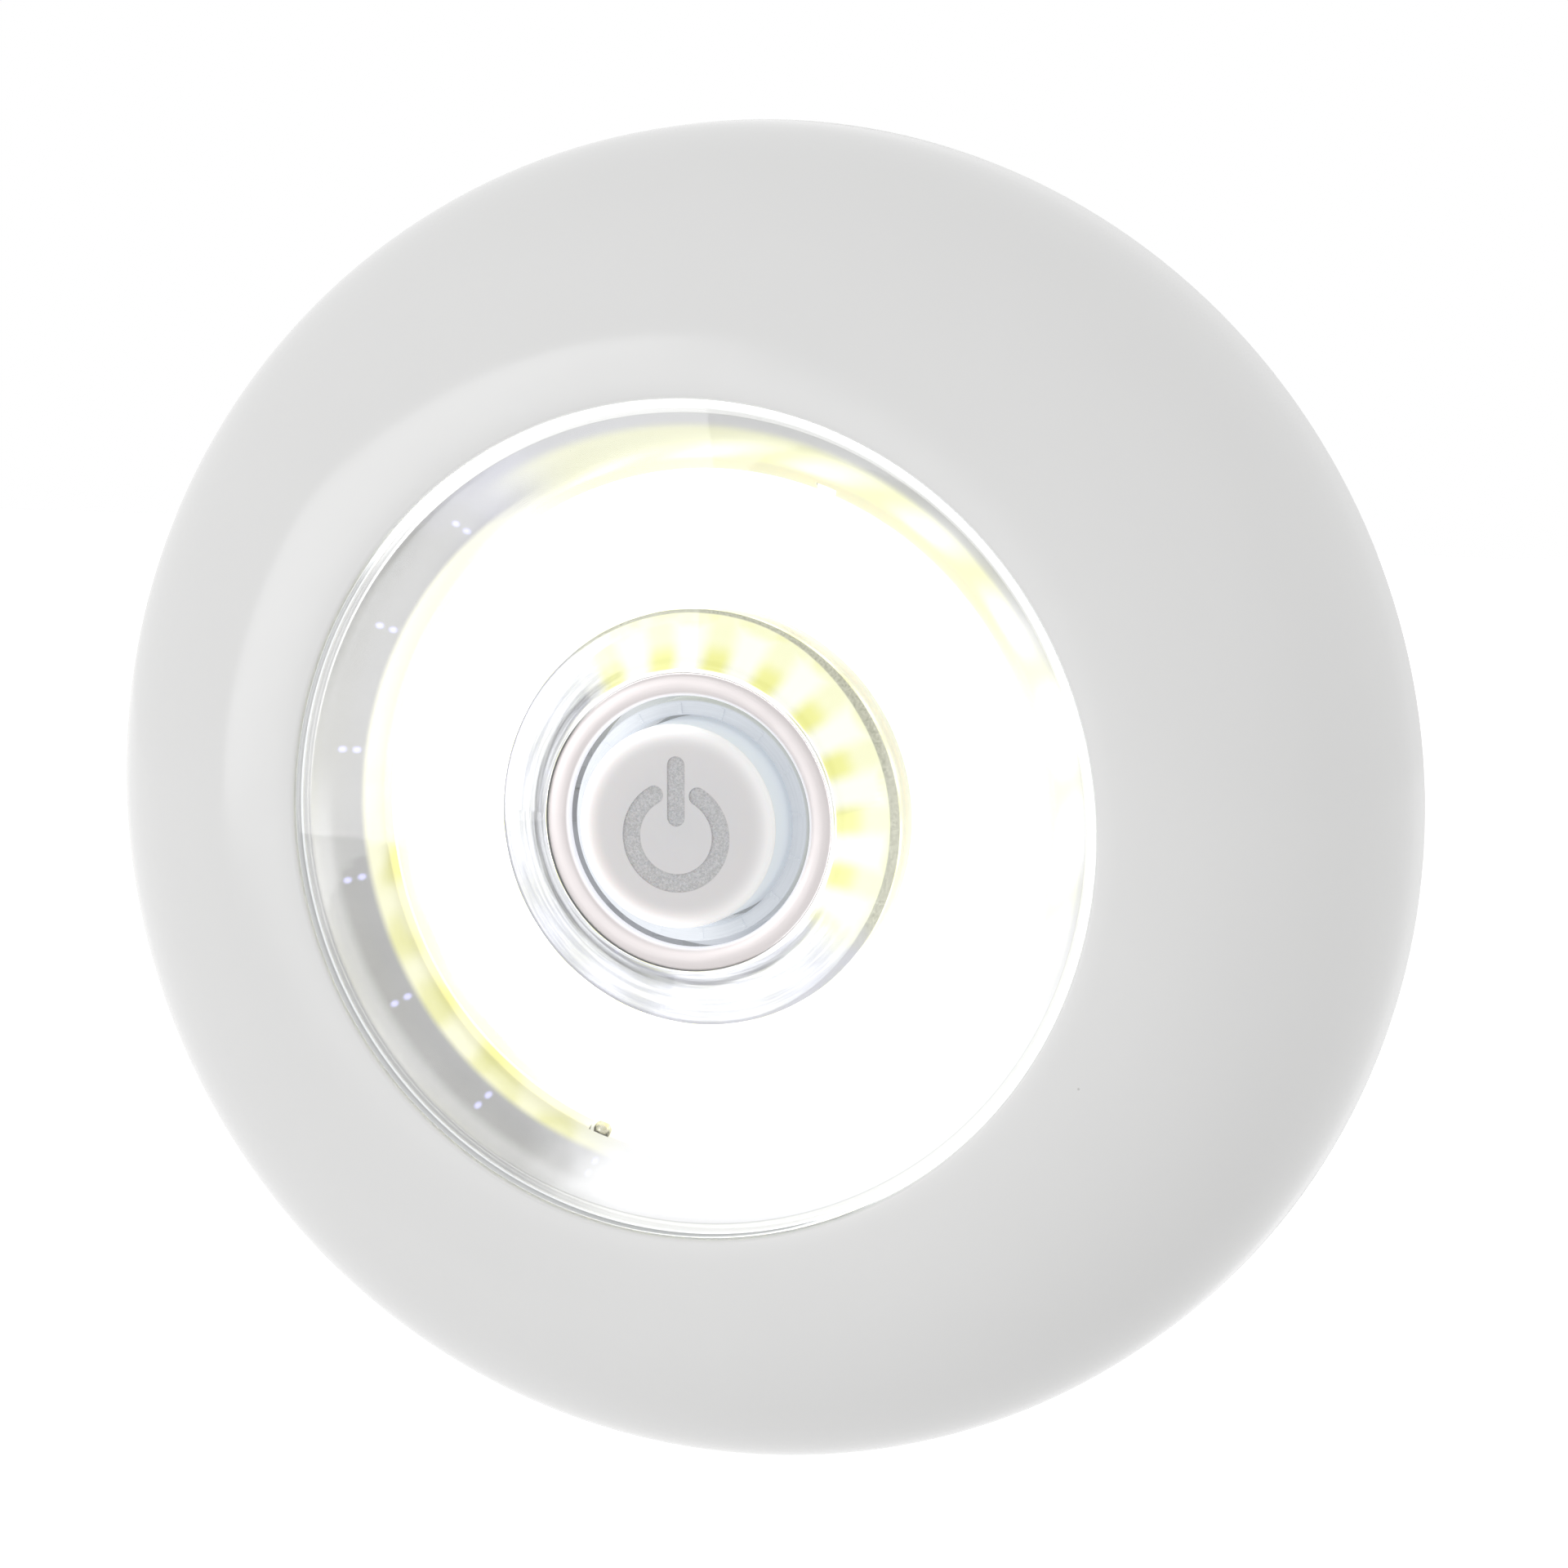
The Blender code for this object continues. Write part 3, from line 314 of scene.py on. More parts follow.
def reflector_chrome():
    """Vacuum-metallised plastic, washed by the gel's light but for its left side: that light is
    painted on as a glow, with painted shade in its colour, a painted reflection of the gel at its
    foot and painted glints.
    """
    finish = Finish("reflector_chrome", (0.37, 0.365, 0.355), 0.14, metallic=1)
    radius, angle, depth = finish.round_the_axis()
    streaks = finish.noise(1, 2, finish.vector(angle * 1.2, radius / mm(0.12), depth / mm(0.16)))
    pinholes = finish.specks(mm(0.9), mm(0.035), 0.3)
    washed = finish.towards(wash_side, wander=finish.noise(mm(5.0), 2) * 0.3)
    at_top = finish.towards(top_side)
    at_bottom = finish.towards(bottom_side, 0.6)
    low_left = finish.towards(foot_glow_side, 0.3)
    outside = finish.step(radius, reflector_mouth - mm(1.3), reflector_mouth - mm(0.5))
    near_mouth = finish.step(radius, reflector_mouth - mm(1.3), reflector_mouth - mm(0.6))
    past_mouth = finish.step(radius, reflector_mouth - mm(0.1), reflector_mouth)
    # Painted shade: the coating's colour is darker on the washed side and darker still at the top,
    # with pale pinholes.
    coating = finish.layered(
        finish.tinted(finish.noise(mm(1.6), 4), 0.03),
        (washed, (0.26, 0.26, 0.25)),
        (at_top, (0.13, 0.13, 0.12)),
        (at_top * outside, (0.05, 0.05, 0.05)),
        (pinholes * 0.6, (0.9, 0.9, 0.95)),
    )
    finish.set("Base Color", coating)
    finish.set("Roughness", 0.13 + streaks * 0.08 + pinholes * 0.2)

    # Painted light and reflection, the glow on each side: lavender grey where washed, at the top
    # the gel's yellow inside and grey outside, pale at the bottom.
    top_light = finish.mix(outside, (0.62, 0.62, 0.42), (0.45, 0.45, 0.46))
    wash = finish.mix(at_top, (0.42, 0.42, 0.52), top_light)
    wash = finish.mix(at_bottom, wash, (0.85, 0.85, 0.86))
    # Painted reflection where it is not washed: the gel's yellow in patches along the foot, grey
    # near the mouth on the lower left, and bluish painted glints.
    foot = 1 - finish.step(radius, reflector_inner + foot_reflection_band[0], reflector_inner + foot_reflection_band[1])
    patches = finish.step(finish.noise(mm(4.0), 1), 0.35, 0.6)
    yellow = finish.mix(patches, (0.56, 0.55, 0.1), (0.7, 0.69, 0.4))
    unwashed = finish.layered(
        finish.mix(finish.noise(mm(5.0), 1), (0.09, 0.09, 0.085), (0.15, 0.15, 0.15)),
        (foot * 0.95, finish.mix(low_left, (0.74, 0.73, 0.5), yellow)),
        (near_mouth * low_left, (0.3, 0.3, 0.3)),
        (chip_spots(finish, glint_rows, glint_core, glint_glow, hub_spot_start), (0.5, 0.5, 0.95)),
    )
    # Painted light on the rolled rim, brighter where washed, and none on its top; the wall takes
    # the painted glow from above.
    share = finish.limited((radius - reflector_inner) / (reflector_mouth - reflector_inner))
    wall = reflector_foot + (reflector_top - reflector_foot) * share**reflector_curve
    on_wall = (1 - past_mouth) * finish.step(depth - wall, mm(-0.3), mm(-0.15))
    on_top = finish.step(depth, reflector_top - mm(0.35), reflector_top - mm(0.2))
    rim_light = finish.mix(past_mouth * washed, (0.2, 0.2, 0.2), (0.7, 0.7, 0.68))
    rim_light = finish.mix(on_top, dark, rim_light)
    finish.glow(finish.mix(on_wall, rim_light, finish.mix(washed, unwashed, wash)), 1.0)
    return finish.bumped(finish.noise(mm(2.2), 1) * 0.5 + streaks * 0.12, mm(0.01))


def hub_chrome():
    """The collar's coating: satin on top, with a painted glow at the bore's edge, and on its flare
    a painted reflection of the gel's yellow and its chips, and pale painted streaks where that is
    not.
    """
    finish = Finish("hub_chrome", (0.6, 0.565, 0.565), 0.3, metallic=1)
    radius, angle, depth = finish.round_the_axis()
    streaks = finish.noise(1, 4, finish.vector(angle * 2, radius / mm(0.3), depth / mm(0.3)))
    contrast = finish.step(streaks, 0.35, 0.65)
    specks = finish.noise(mm(0.14), 2, roughness=0.8)
    on_flare = finish.step(radius, hub_flare_start, hub_flare_start + mm(0.2))
    off_bore = finish.step(radius, hub_bore + mm(0.05), hub_bore + mm(0.25))
    outside = finish.step(radius, mm(10.5), mm(12.5))
    edge_width = mm(0.2) + finish.towards((0, 0.5), 0.8) * mm(0.35)
    edge = finish.step(radius, hub_radius - edge_width - mm(0.1), hub_radius - edge_width)

    # Painted reflection of the gel on the flare: white at each chip, yellow between them and at
    # the fringe, dark and pale specks at the edge.
    turn = (angle / (math.tau / chips_round) - hub_spot_start) % 1 - 0.5
    between = finish.step(abs(turn), 0.1, 0.42)
    between = between * (1 - finish.step(radius, mm(10.2), mm(11.4)) * 0.55)
    fringe = finish.step(radius, mm(11.7), mm(12.7)) * finish.noise(mm(1.5), 2)
    mirrored_gel = finish.layered(
        (0.98, 0.98, 0.88),
        (between | fringe, (0.84, 0.84, 0.26)),
        (edge, finish.mix(specks, (0.1, 0.1, 0.04), (0.75, 0.75, 0.62))),
    )
    # Painted reflection where the gel is not mirrored: pale streaks, dimmer further out and at the
    # edge.
    pale = finish.layered(
        (0.17, 0.17, 0.19),
        (contrast, (0.38, 0.39, 0.41)),
        (outside, (0.14, 0.14, 0.17)),
        (edge, (0.3, 0.3, 0.33)),
    )
    # Painted light: a pale glow at the crown's edge by the bore.
    crown = finish.mix(off_bore, (0.5, 0.52, 0.55), (0.03, 0.026, 0.026))
    lit = finish.towards(hub_glow_side, wander=finish.noise(mm(2.2)) * 0.5)
    lit = lit * on_flare
    finish.glow(finish.mix(lit, finish.mix(on_flare, crown, pale), mirrored_gel), 1.0)

    # Streaked base colour, darker at the edge, and nearly black under the painted reflection of
    # the gel.
    flare = finish.mix(contrast, (0.5, 0.51, 0.55), (0.68, 0.68, 0.7))
    flare = finish.mix(edge, flare, (0.2, 0.2, 0.22))
    plain = finish.mix(on_flare, finish.tinted(streaks, 0.04), flare)
    finish.set("Base Color", finish.mix(lit, plain, (0.08, 0.08, 0.06)))
    finish.set("Roughness", 0.36 - on_flare * 0.28 + streaks * 0.08)
    return finish.bumped(finish.noise(mm(2.2), 1) * 1.6 + streaks * 0.8, mm(0.012))


def chip_spots(finish, rows, core, glow, start):
    """1 at each chip of each row round the axis, falling to 0 where its glow ends."""
    radius, angle, _ = finish.round_the_axis()
    turn = (angle / (math.tau / chips_round) - start) % 1 - 0.5
    sideways = turn * math.tau / chips_round * radius
    spots = 0
    for row in rows:
        off = finish.distance(sideways, radius - row)
        spots = (1 - finish.step(off, core, glow)) | spots
    return spots


def light_gel():
    """Phosphor gel, lit from within: yellow, with two rows of white-hot chips showing through."""
    finish = Finish("light_gel", (0.95, 0.9, 0.45), 0.45)
    spots = chip_spots(finish, chip_rows, chip_core, chip_glow, chip_start)
    finish.glow(finish.mix(spots, gel_light, (1, 1, 1)), gel_strength)
    finish.set("Base Color", finish.tinted(finish.noise(mm(0.5)), 0.05))
    return finish.bumped(finish.noise(mm(1.1), 2), mm(0.03))


def dam_silicone():
    """The pale bead round the gel, milky and lit from beside: that light is painted on as a glow,
    bright on the washed side.
    """
    finish = Finish("dam_silicone", (0.84, 0.87, 0.8), 0.35, subsurface_weight=0.2)
    finish.set("Base Color", finish.tinted(finish.noise(mm(0.7)), 0.04))
    # Painted light: a glow, bright on the washed side and dim elsewhere.
    washed = finish.towards(wash_side)
    finish.glow(finish.mix(washed, (0.28, 0.32, 0.27), (0.9, 0.9, 0.88)), 0.8)
    return finish.bumped(finish.noise(mm(0.9), 2), mm(0.02))


def symbol_mask(finish):
    """1 inside the on and off symbol and 0 outside it, from distances to its two strokes."""
    x, _, z = finish.parts(finish.place)
    half = symbol_stroke / 2
    up = z + symbol_drop
    side = abs(x)
    ring = abs(finish.distance(x, up) - symbol_radius)
    tip_x = side - symbol_radius * math.sin(symbol_gap)
    tip = finish.distance(tip_x, up - symbol_radius * math.cos(symbol_gap))
    open_end = finish.maths("ARCTAN2", side, up) < symbol_gap
    arc_gap = ring * (1 - open_end) + tip * open_end
    middle = (symbol_bar_high + symbol_bar_low) / 2
    bar_gap = finish.distance(x, (abs(z - middle) - (symbol_bar_high - middle)) | 0)
    nearest = finish.maths("MINIMUM", arc_gap, bar_gap)
    return 1 - finish.step(nearest, half - symbol_blur, half + symbol_blur)


def button_white():
    """Milky white plastic with a painted glow at its rim and on its skirt, painted shade on its
    skirt, and a speckled grey symbol.
    """
    finish = Finish("button_white", (0.80, 0.745, 0.735), 0.3, subsurface_weight=0.15)
    radius, _, depth = finish.round_the_axis()
    on_face = finish.step(depth, button_top - mm(0.5), button_top - mm(0.35))
    mask = symbol_mask(finish) * on_face
    speckle = finish.step(finish.noise(mm(0.13), 3, roughness=0.8), 0.3, 0.7)
    grey = finish.mix(speckle, (0.50, 0.475, 0.475), (0.76, 0.72, 0.72))
    plain = finish.tinted(finish.noise(mm(2.5)), 0.01)
    # Painted shade: the skirt is a darker bluish grey than the face.
    skirt = finish.mix(on_face, (0.62, 0.66, 0.7), plain)
    finish.set("Base Color", finish.mix(mask, skirt, grey))
    # Painted light: a glow that grows towards the face's rim, weaker on the right, and a steady
    # glow on the skirt.
    rim = finish.step(radius, mm(4.5), mm(6.4)) * on_face
    rim_glow = rim * rim * (1.05 - finish.towards((0, 1), 0.8) * 0.6)
    glow = (0.02 + rim_glow) | ((1 - on_face) * 0.42)
    finish.glow(finish.mix(glow, dark, (1, 1, 1)), 0.55)
    finish.set("Roughness", 0.28 + mask * 0.25)
    return finish.bumped(speckle * mask + finish.noise(mm(0.4), 2) * 0.1, mm(0.012))


def guide_clear():
    """The sleeve round the button: clear plastic, bluish, with turning marks, and a painted glow
    that is brighter on its left side.
    """
    finish = Finish("guide_clear", (0.57, 0.595, 0.63), 0.12, transmission_weight=0.15, ior=1.49)
    # Painted light: a bluish glow, brighter on the left side.
    lit = finish.towards(guide_glow_side, 0.6)
    finish.glow(finish.mix(lit, (0.43, 0.455, 0.485), (0.85, 0.87, 0.9)), 0.4)
    radius, angle, depth = finish.round_the_axis()
    lines = finish.noise(1, 2, finish.vector(angle * 1.5, radius / mm(0.09), depth / mm(0.12)))
    finish.set("Base Color", finish.tinted(lines, 0.12))
    finish.set("Roughness", 0.08 + lines * 0.16)
    return finish.bumped(lines, mm(0.012))


def moulded_plastic(name, colour, roughness, grain):
    """Plain moulded plastic with a fine sparked grain."""
    finish = Finish(name, colour, roughness)
    fine = finish.noise(grain, 2, roughness=0.7)
    finish.set("Base Color", finish.tinted(finish.noise(mm(8.0), 4), 0.02))
    finish.set("Roughness", roughness - 0.05 + fine * 0.1)
    return finish.bumped(fine, grain * 0.06)


def foam_pad():
    """Closed-cell foam under a film of adhesive."""
    finish = Finish("foam_pad", (0.80, 0.80, 0.77), 0.55, coat_weight=0.3, coat_roughness=0.25)
    cells = finish.node(
        "ShaderNodeTexVoronoi", {"Vector": finish.place, "Scale": 1 / mm(0.35)}, "Distance"
    )
    finish.set("Base Color", finish.tinted(cells, 0.08))
    finish.set("Roughness", 0.45 + finish.noise(mm(4.0)) * 0.25)
    return finish.bumped(cells, mm(0.05))


def metal(name, colour, roughness, grain, across=6):
    """Plated sheet or wire, with a fine grain along its length and a few stains."""
    finish = Finish(name, colour, roughness, metallic=1)
    inputs = {"Vector": finish.place, "Scale": (1 / grain, 1 / grain, 1 / grain / across)}
    long_grain = finish.noise(1, 3, finish.node("ShaderNodeMapping", inputs))
    stains = finish.noise(mm(1.8), 4)
    finish.set("Base Color", finish.tinted(stains, 0.08))
    finish.set("Roughness", roughness - 0.06 + long_grain * 0.14)
    return finish.bumped(long_grain, grain * 0.05)


def cell_sleeve():
    """A plain dry cell: a dark sleeve with a coloured shoulder band, and bare steel ends."""
    finish = Finish("cell_sleeve", (0.05, 0.055, 0.06), 0.25)
    x, _, z = finish.parts(finish.place)
    low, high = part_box("cell_1")
    length = high.z - low.z
    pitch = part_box("cell_2")[0].x - low.x
    way = 1 - 2 * (1 - abs(finish.maths("ROUND", x / pitch)))
    share = (z * way + length / 2 - (high.z + low.z) / 2) / length
    band = finish.step(share, 0.70, 0.703) * (1 - finish.step(share, 0.955, 0.957))
    ends = 1 - finish.step(share, 0.012, 0.014) * (1 - finish.step(share, 0.965, 0.967))
    print_grain = finish.noise(mm(0.3), 2)
    sleeve = finish.mix(band, (0.05, 0.055, 0.06), (0.62, 0.33, 0.10))
    finish.set("Base Color", finish.mix(ends, sleeve, (0.66, 0.65, 0.62)))
    finish.set("Metallic", ends | (band * 0.6))
    finish.set("Roughness", 0.2 + print_grain * 0.1 + ends * 0.08)
    return finish.bumped(print_grain, mm(0.006))


def circuit_board(name, colour, copper, lit_depth=None):
    """Solder resist over copper tracks, with light painted as a glow on the face at the lit depth.
    """
    finish = Finish(name, colour, 0.35, coat_weight=0.2)
    inputs = {"Vector": finish.place, "Scale": 1 / mm(1.7)}
    blocks = finish.node("ShaderNodeTexVoronoi", inputs, "Distance", distance="CHEBYCHEV")
    tracks = finish.step(blocks, 0.30, 0.33)
    resist = finish.tinted(finish.noise(mm(3.0)), 0.03)
    finish.set("Base Color", finish.mix(tracks, copper, resist))
    finish.set("Roughness", 0.3 + finish.noise(mm(0.2)) * 0.12)
    # Painted light: with a lit depth, the board's face there glows.
    if lit_depth:
        depth = finish.round_the_axis()[2]
        lit = finish.step(depth, lit_depth - mm(0.06), lit_depth - mm(0.02))
        finish.glow(finish.mix(lit, dark, (1, 1, 0.9)), board_glow)
    return finish.bumped(1 - tracks, mm(0.02))


def solder_metal():
    """A solder joint: dimpled, with amber flux, and washed out on the right by light painted as a
    glow.
    """
    finish = Finish("solder_metal", (0.55, 0.53, 0.42), 0.2, metallic=1)
    dimples = finish.noise(mm(0.25), 3)
    finish.set("Base Color", finish.mix(dimples, (0.42, 0.38, 0.22), (0.78, 0.77, 0.70)))
    finish.set("Roughness", 0.12 + dimples * 0.25)
    # Painted light: a glow on the right half of the joint.
    on_right = finish.step(finish.parts(finish.place)[0], 0, mm(1.0))
    finish.glow(finish.mix(on_right, dark, (1, 1, 0.97)), 1.0)
    return finish.bumped(dimples, mm(0.05))


def studio_white():
    """The floor: white to the camera and to what mirrors it, with the lamp's shadow kept."""
    finish = Finish("studio_white", (0.8, 0.8, 0.8), 0.6)
    finish.glow((1, 1, 1, 1), seen_directly(finish) * floor_glow)
    return finish.material


# The rings of light chips, and their painted reflections and glints on the reflector and the hub
chips_round = 18
chip_start = 0.22
chip_rows = mm(15.4, 18.5)
chip_core = mm(0.3)
chip_glow = mm(3.3)
hub_spot_start = 0.1
hub_flare_start = mm(9.3)
glint_rows = mm(23.2, 23.9)
glint_core = mm(0.05)
glint_glow = mm(0.3)
foot_reflection_band = mm(1.1, 1.5)

# The sides where light and shade are painted: a direction round the axis, and the spread either
# way
wash_side = degrees(8, 117)
top_side = degrees(74, 36)
bottom_side = degrees(-75, 38)
foot_glow_side = degrees(222, 34)
hub_glow_side = degrees(46, 86)
edge_glow_side = degrees(40, 82.811)
guide_glow_side = degrees(200, 65)

# How bright the gel's own light is, and the light painted on the board and the lens's edge
gel_strength = 4.5
board_glow = 0.7
edge_glow_least = 0.2

# Colours that several finishes use
dark = (0, 0, 0)
gel_light = (0.46, 0.46, 0.19)

# The on and off symbol
symbol_stroke = mm(1.14)
symbol_radius = mm(2.9)
symbol_drop = mm(0.6)
symbol_gap = degrees(29)
symbol_bar_low = mm(0.6)
symbol_bar_high = mm(3.8)
symbol_depth = mm(0.10)
symbol_blur = mm(0.05)


# Mesh helpers


def started_tree(name, **kinds):
    """A geometry tree that has these inputs, and the inputs as fields."""
    group = bpy.data.node_groups.new(name, "GeometryNodeTree")
    for words, kind in kinds.items():
        group.interface.new_socket(words, in_out="INPUT", socket_type="NodeSocket" + kind)
    group.interface.new_socket("Piece", in_out="OUTPUT", socket_type="NodeSocketGeometry")
    given = group.nodes.new("NodeGroupInput").outputs
    tree = Tree(group)
    return tree, [Field(tree, given[words]) for words in kinds]


def ended_tree(tree, geometry, finish):
    """Makes the instances real, gives them their finish and ends the tree."""
    whole = tree.node("GeometryNodeRealizeInstances", {"Geometry": geometry})
    done = tree.node("GeometryNodeSetMaterial", {"Geometry": whole, "Material": finish})
    group = tree.nodes_tree
    group.links.new(done.socket, group.nodes.new("NodeGroupOutput").inputs[0])
    return group


def turning_tree():
    """Geometry nodes that turn an outline, given as loose points, round the lamp's axis."""
    tree, (outline, steps, rows, finish) = started_tree(
        "turn_outline", Outline="Geometry", Steps="Int", Rows="Int", Finish="Material"
    )
    inputs = {"Geometry": outline}
    count = tree.node("GeometryNodeAttributeDomainSize", inputs, "Point Count")
    grid = tree.node("GeometryNodeMeshGrid", {"Vertices X": steps + 1, "Vertices Y": rows})
    index = tree.node("GeometryNodeInputIndex", {})
    inputs = {"Geometry": outline, "Index": index % rows % count}
    point = tree.node("GeometryNodeSampleIndex", inputs, data_type="FLOAT_VECTOR")
    sampled = [s for s in point.socket.node.inputs if s.name == "Value" and s.enabled][0]
    tree.feed(sampled, tree.node("GeometryNodeInputPosition", {}))
    radius, depth, _ = tree.parts(point)
    angle = tree.maths("FLOOR", index / rows) * math.tau / steps
    across = radius * tree.maths("COSINE", angle)
    up = radius * tree.maths("SINE", angle)
    inputs = {"Geometry": grid, "Position": tree.vector(across, -depth, up)}
    moved = tree.node("GeometryNodeSetPosition", inputs)
    inputs = {"Geometry": moved, "Distance": merge_distance}
    return ended_tree(tree, tree.node("GeometryNodeMergeByDistance", inputs), finish)


def ring_tree():
    """Geometry nodes that set copies of a small shape round the lamp's axis."""
    tree, (shape, count, start, finish) = started_tree(
        "round_the_axis", Shape="Geometry", Count="Int", Start="Float", Finish="Material"
    )
    points = tree.node("GeometryNodePoints", {"Count": count})
    index = tree.node("GeometryNodeInputIndex", {})
    turn = tree.vector(0, -(start + index * math.tau / count), 0)
    rotation = tree.node("FunctionNodeEulerToRotation", {"Euler": turn})
    one = tree.node("GeometryNodeGeometryToInstance", {"Geometry": shape})
    inputs = {"Points": points, "Instance": one, "Rotation": rotation}
    return ended_tree(tree, tree.node("GeometryNodeInstanceOnPoints", inputs), finish)


merge_distance = mm(0.002)
smooth_limit = degrees(32)
fillet_steps = 5
TURNING = turning_tree()
ROUND = ring_tree()


def evaluated_mesh(piece):
    """A piece's mesh with its modifiers worked in."""
    evaluated = piece.evaluated_get(bpy.context.evaluated_depsgraph_get())
    return bpy.data.meshes.new_from_object(evaluated)


def new_object(name, mesh):
    made = bpy.data.objects.new(name, mesh)
    bpy.context.scene.collection.objects.link(made)
    return made


def grown(name, mesh, group, **inputs):
    """The plain mesh that a geometry tree makes from a starting mesh."""
    seed = new_object(name, mesh)
    modifier = seed.modifiers.new(name, "NODES")
    modifier.node_group = group
    for item in group.interface.items_tree:
        if item.in_out == "INPUT" and item.name in inputs:
            modifier[item.identifier] = inputs[item.name]
    made = evaluated_mesh(seed)
    seed.modifiers.remove(modifier)
    bpy.data.objects.remove(seed)
    return coated(finished(made), inputs["Finish"])


def coated(mesh, finish):
    """Gives a mesh one finish all over."""
    mesh.materials.clear()
    mesh.materials.append(finish)
    mesh.polygons.foreach_set("material_index", [0] * len(mesh.polygons))
    return mesh


def finished(mesh):
    """Merges doubles, turns the faces outwards and smooths all but the sharp edges."""
    bm = bmesh.new()
    bm.from_mesh(mesh)
    bmesh.ops.remove_doubles(bm, verts=bm.verts, dist=merge_distance)
    bmesh.ops.recalc_face_normals(bm, faces=bm.faces)
    bm.to_mesh(mesh)
    bm.free()
    mesh.shade_smooth()
    mesh.set_sharp_from_angle(angle=smooth_limit)
    return mesh


def turned(name, outline, finish, steps=lamp_steps, closed=True):
    """A piece turned from an outline of (radius, depth) points."""
    points = bpy.data.meshes.new(name)
    points.from_pydata([(radius, depth, 0) for radius, depth in outline], [], [])
    rows = len(outline) + 1 if closed else len(outline)
    return new_object(name, grown(name, points, TURNING, Steps=steps, Rows=rows, Finish=finish))


def filleted(*corners):
    """An outline of (radius, depth, fillet) corners with each corner eased by its fillet."""
    outline = []
    for number, (radius, depth, fillet) in enumerate(corners):
        here = Vector((radius, depth))
        if not fillet:
            outline.append(tuple(here))
            continue
        before = Vector(corners[number - 1][:2]) - here
        after = Vector(corners[(number + 1) % len(corners)][:2]) - here
        for step in range(fillet_steps + 1):
            share = step / fillet_steps
            start = here + before.normalized() * fillet * (1 - share) ** 2
            outline.append(tuple(start + after.normalized() * fillet * share**2))
    return outline


def arc(centre, radius, start, end, steps):
    turns = [start + (end - start) * step / steps for step in range(steps + 1)]
    return [(centre[0] + radius * math.cos(a), centre[1] + radius * math.sin(a)) for a in turns]


def prism(name, outline, near, far):
    """A flat outline of (x, up) points, carried from one depth to another."""
    bm = bmesh.new()
    face = bm.faces.new([bm.verts.new((x, -near, up)) for x, up in outline])
    made = bmesh.ops.extrude_face_region(bm, geom=[face])
    raised = [part for part in made["geom"] if isinstance(part, bmesh.types.BMVert)]
    bmesh.ops.translate(bm, verts=raised, vec=(0, near - far, 0))
    bmesh.ops.recalc_face_normals(bm, faces=bm.faces)
    mesh = bpy.data.meshes.new(name)
    bm.to_mesh(mesh)
    bm.free()
    return mesh


def shaped(piece, operation, meshes):
    """Joins meshes onto a piece, or cuts them out of it, and keeps it a plain mesh."""
    finish = piece.data.materials[0]
    for mesh in meshes:
        tool = new_object("tool", mesh)
        modifier = piece.modifiers.new("tool", "BOOLEAN")
        modifier.operation = operation
        modifier.solver = "EXACT"
        modifier.object = tool
        made = evaluated_mesh(piece)
        piece.modifiers.remove(modifier)
        piece.data = finished(made)
        bpy.data.objects.remove(tool)
    coated(piece.data, finish)


def hand_over(piece, body, node):
    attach(piece, body)
    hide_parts(node)


# Cover
post_circle = mm(30.5)
post_angles = degrees(35, 145, 215, 325)
post_radius = mm(2.6)
post_hole_radius = mm(1.1)
post_bottom = mm(11.5)
post_hole_depth = mm(5.0)
bayonet_angles = degrees(90, 210, 330)
bayonet_half = degrees(9)
bayonet_thickness = mm(1.2)
hook_inner = mm(38.0)
hook_bottom = mm(5.5)
stop_start = bayonet_half + mm(0.6) / hook_inner
stop_end = stop_start + mm(2.0) / hook_inner
stop_top = mm(9.2)
lug_bottom = mm(7.0)
sink = mm(0.5)
lip_round = mm(0.28)
rim_round_outside = mm(0.3)
rim_round_inside = mm(0.2)
lens_seat_gap = mm(0.25)
lip_lap = mm(0.4)
outside_steps = 48
inside_steps = 20
hole_steps = 32
bore_steps = 24
ring_part_steps = 12


def dome(half_width, half_rise, steps):
    """A quarter ellipse from the lip's edge out to the shoulder."""
    turns = [math.pi / 2 * (1 - step / steps) for step in range(steps + 1)]
    radii = [lip_outer + half_width * math.cos(angle) for angle in turns]
    depths = [cover_shoulder + half_rise * math.sin(angle) for angle in turns]
    return list(zip(radii, depths))


def cover_outline():
    """From the lip over the dome to the rim, and back inside to the lens's seat."""
    rise = cover_top - cover_shoulder
    under_lip = lens_bottom + lip_lap
    inner_radius = cover_radius - cover_wall
    lens_seat = lens_flange_radius + lens_seat_gap
    lip = filleted(
        (lip_inner, under_lip, 0),
        (lip_inner, cover_top, lip_round),
        (lip_outer, cover_top, 0),
    )
    rim = filleted(
        (cover_radius, cover_shoulder, 0),
        (cover_radius, cover_rim, rim_round_outside),
        (inner_radius, cover_rim, rim_round_inside),
        (inner_radius, cover_shoulder, 0),
    )
    outside = dome(cover_radius - lip_outer, rise, outside_steps)
    inside = dome(inner_radius - lip_outer, rise - cover_wall, inside_steps)
    seat = [(lens_seat, cover_top - cover_wall), (lens_seat, under_lip)]
    return lip[:-1] + outside[:-1] + rim + inside[::-1][1:] + seat


def disc(centre, radius, steps):
    return arc(centre, radius, 0, math.tau, steps)[:-1]


def ring_part(inner, outer, start, end, near, far):
    """A short length of a ring, from one angle and one depth to another."""
    outline = arc((0, 0), outer, start, end, ring_part_steps)
    return prism("ring_part", outline + arc((0, 0), inner, end, start, ring_part_steps), near, far)


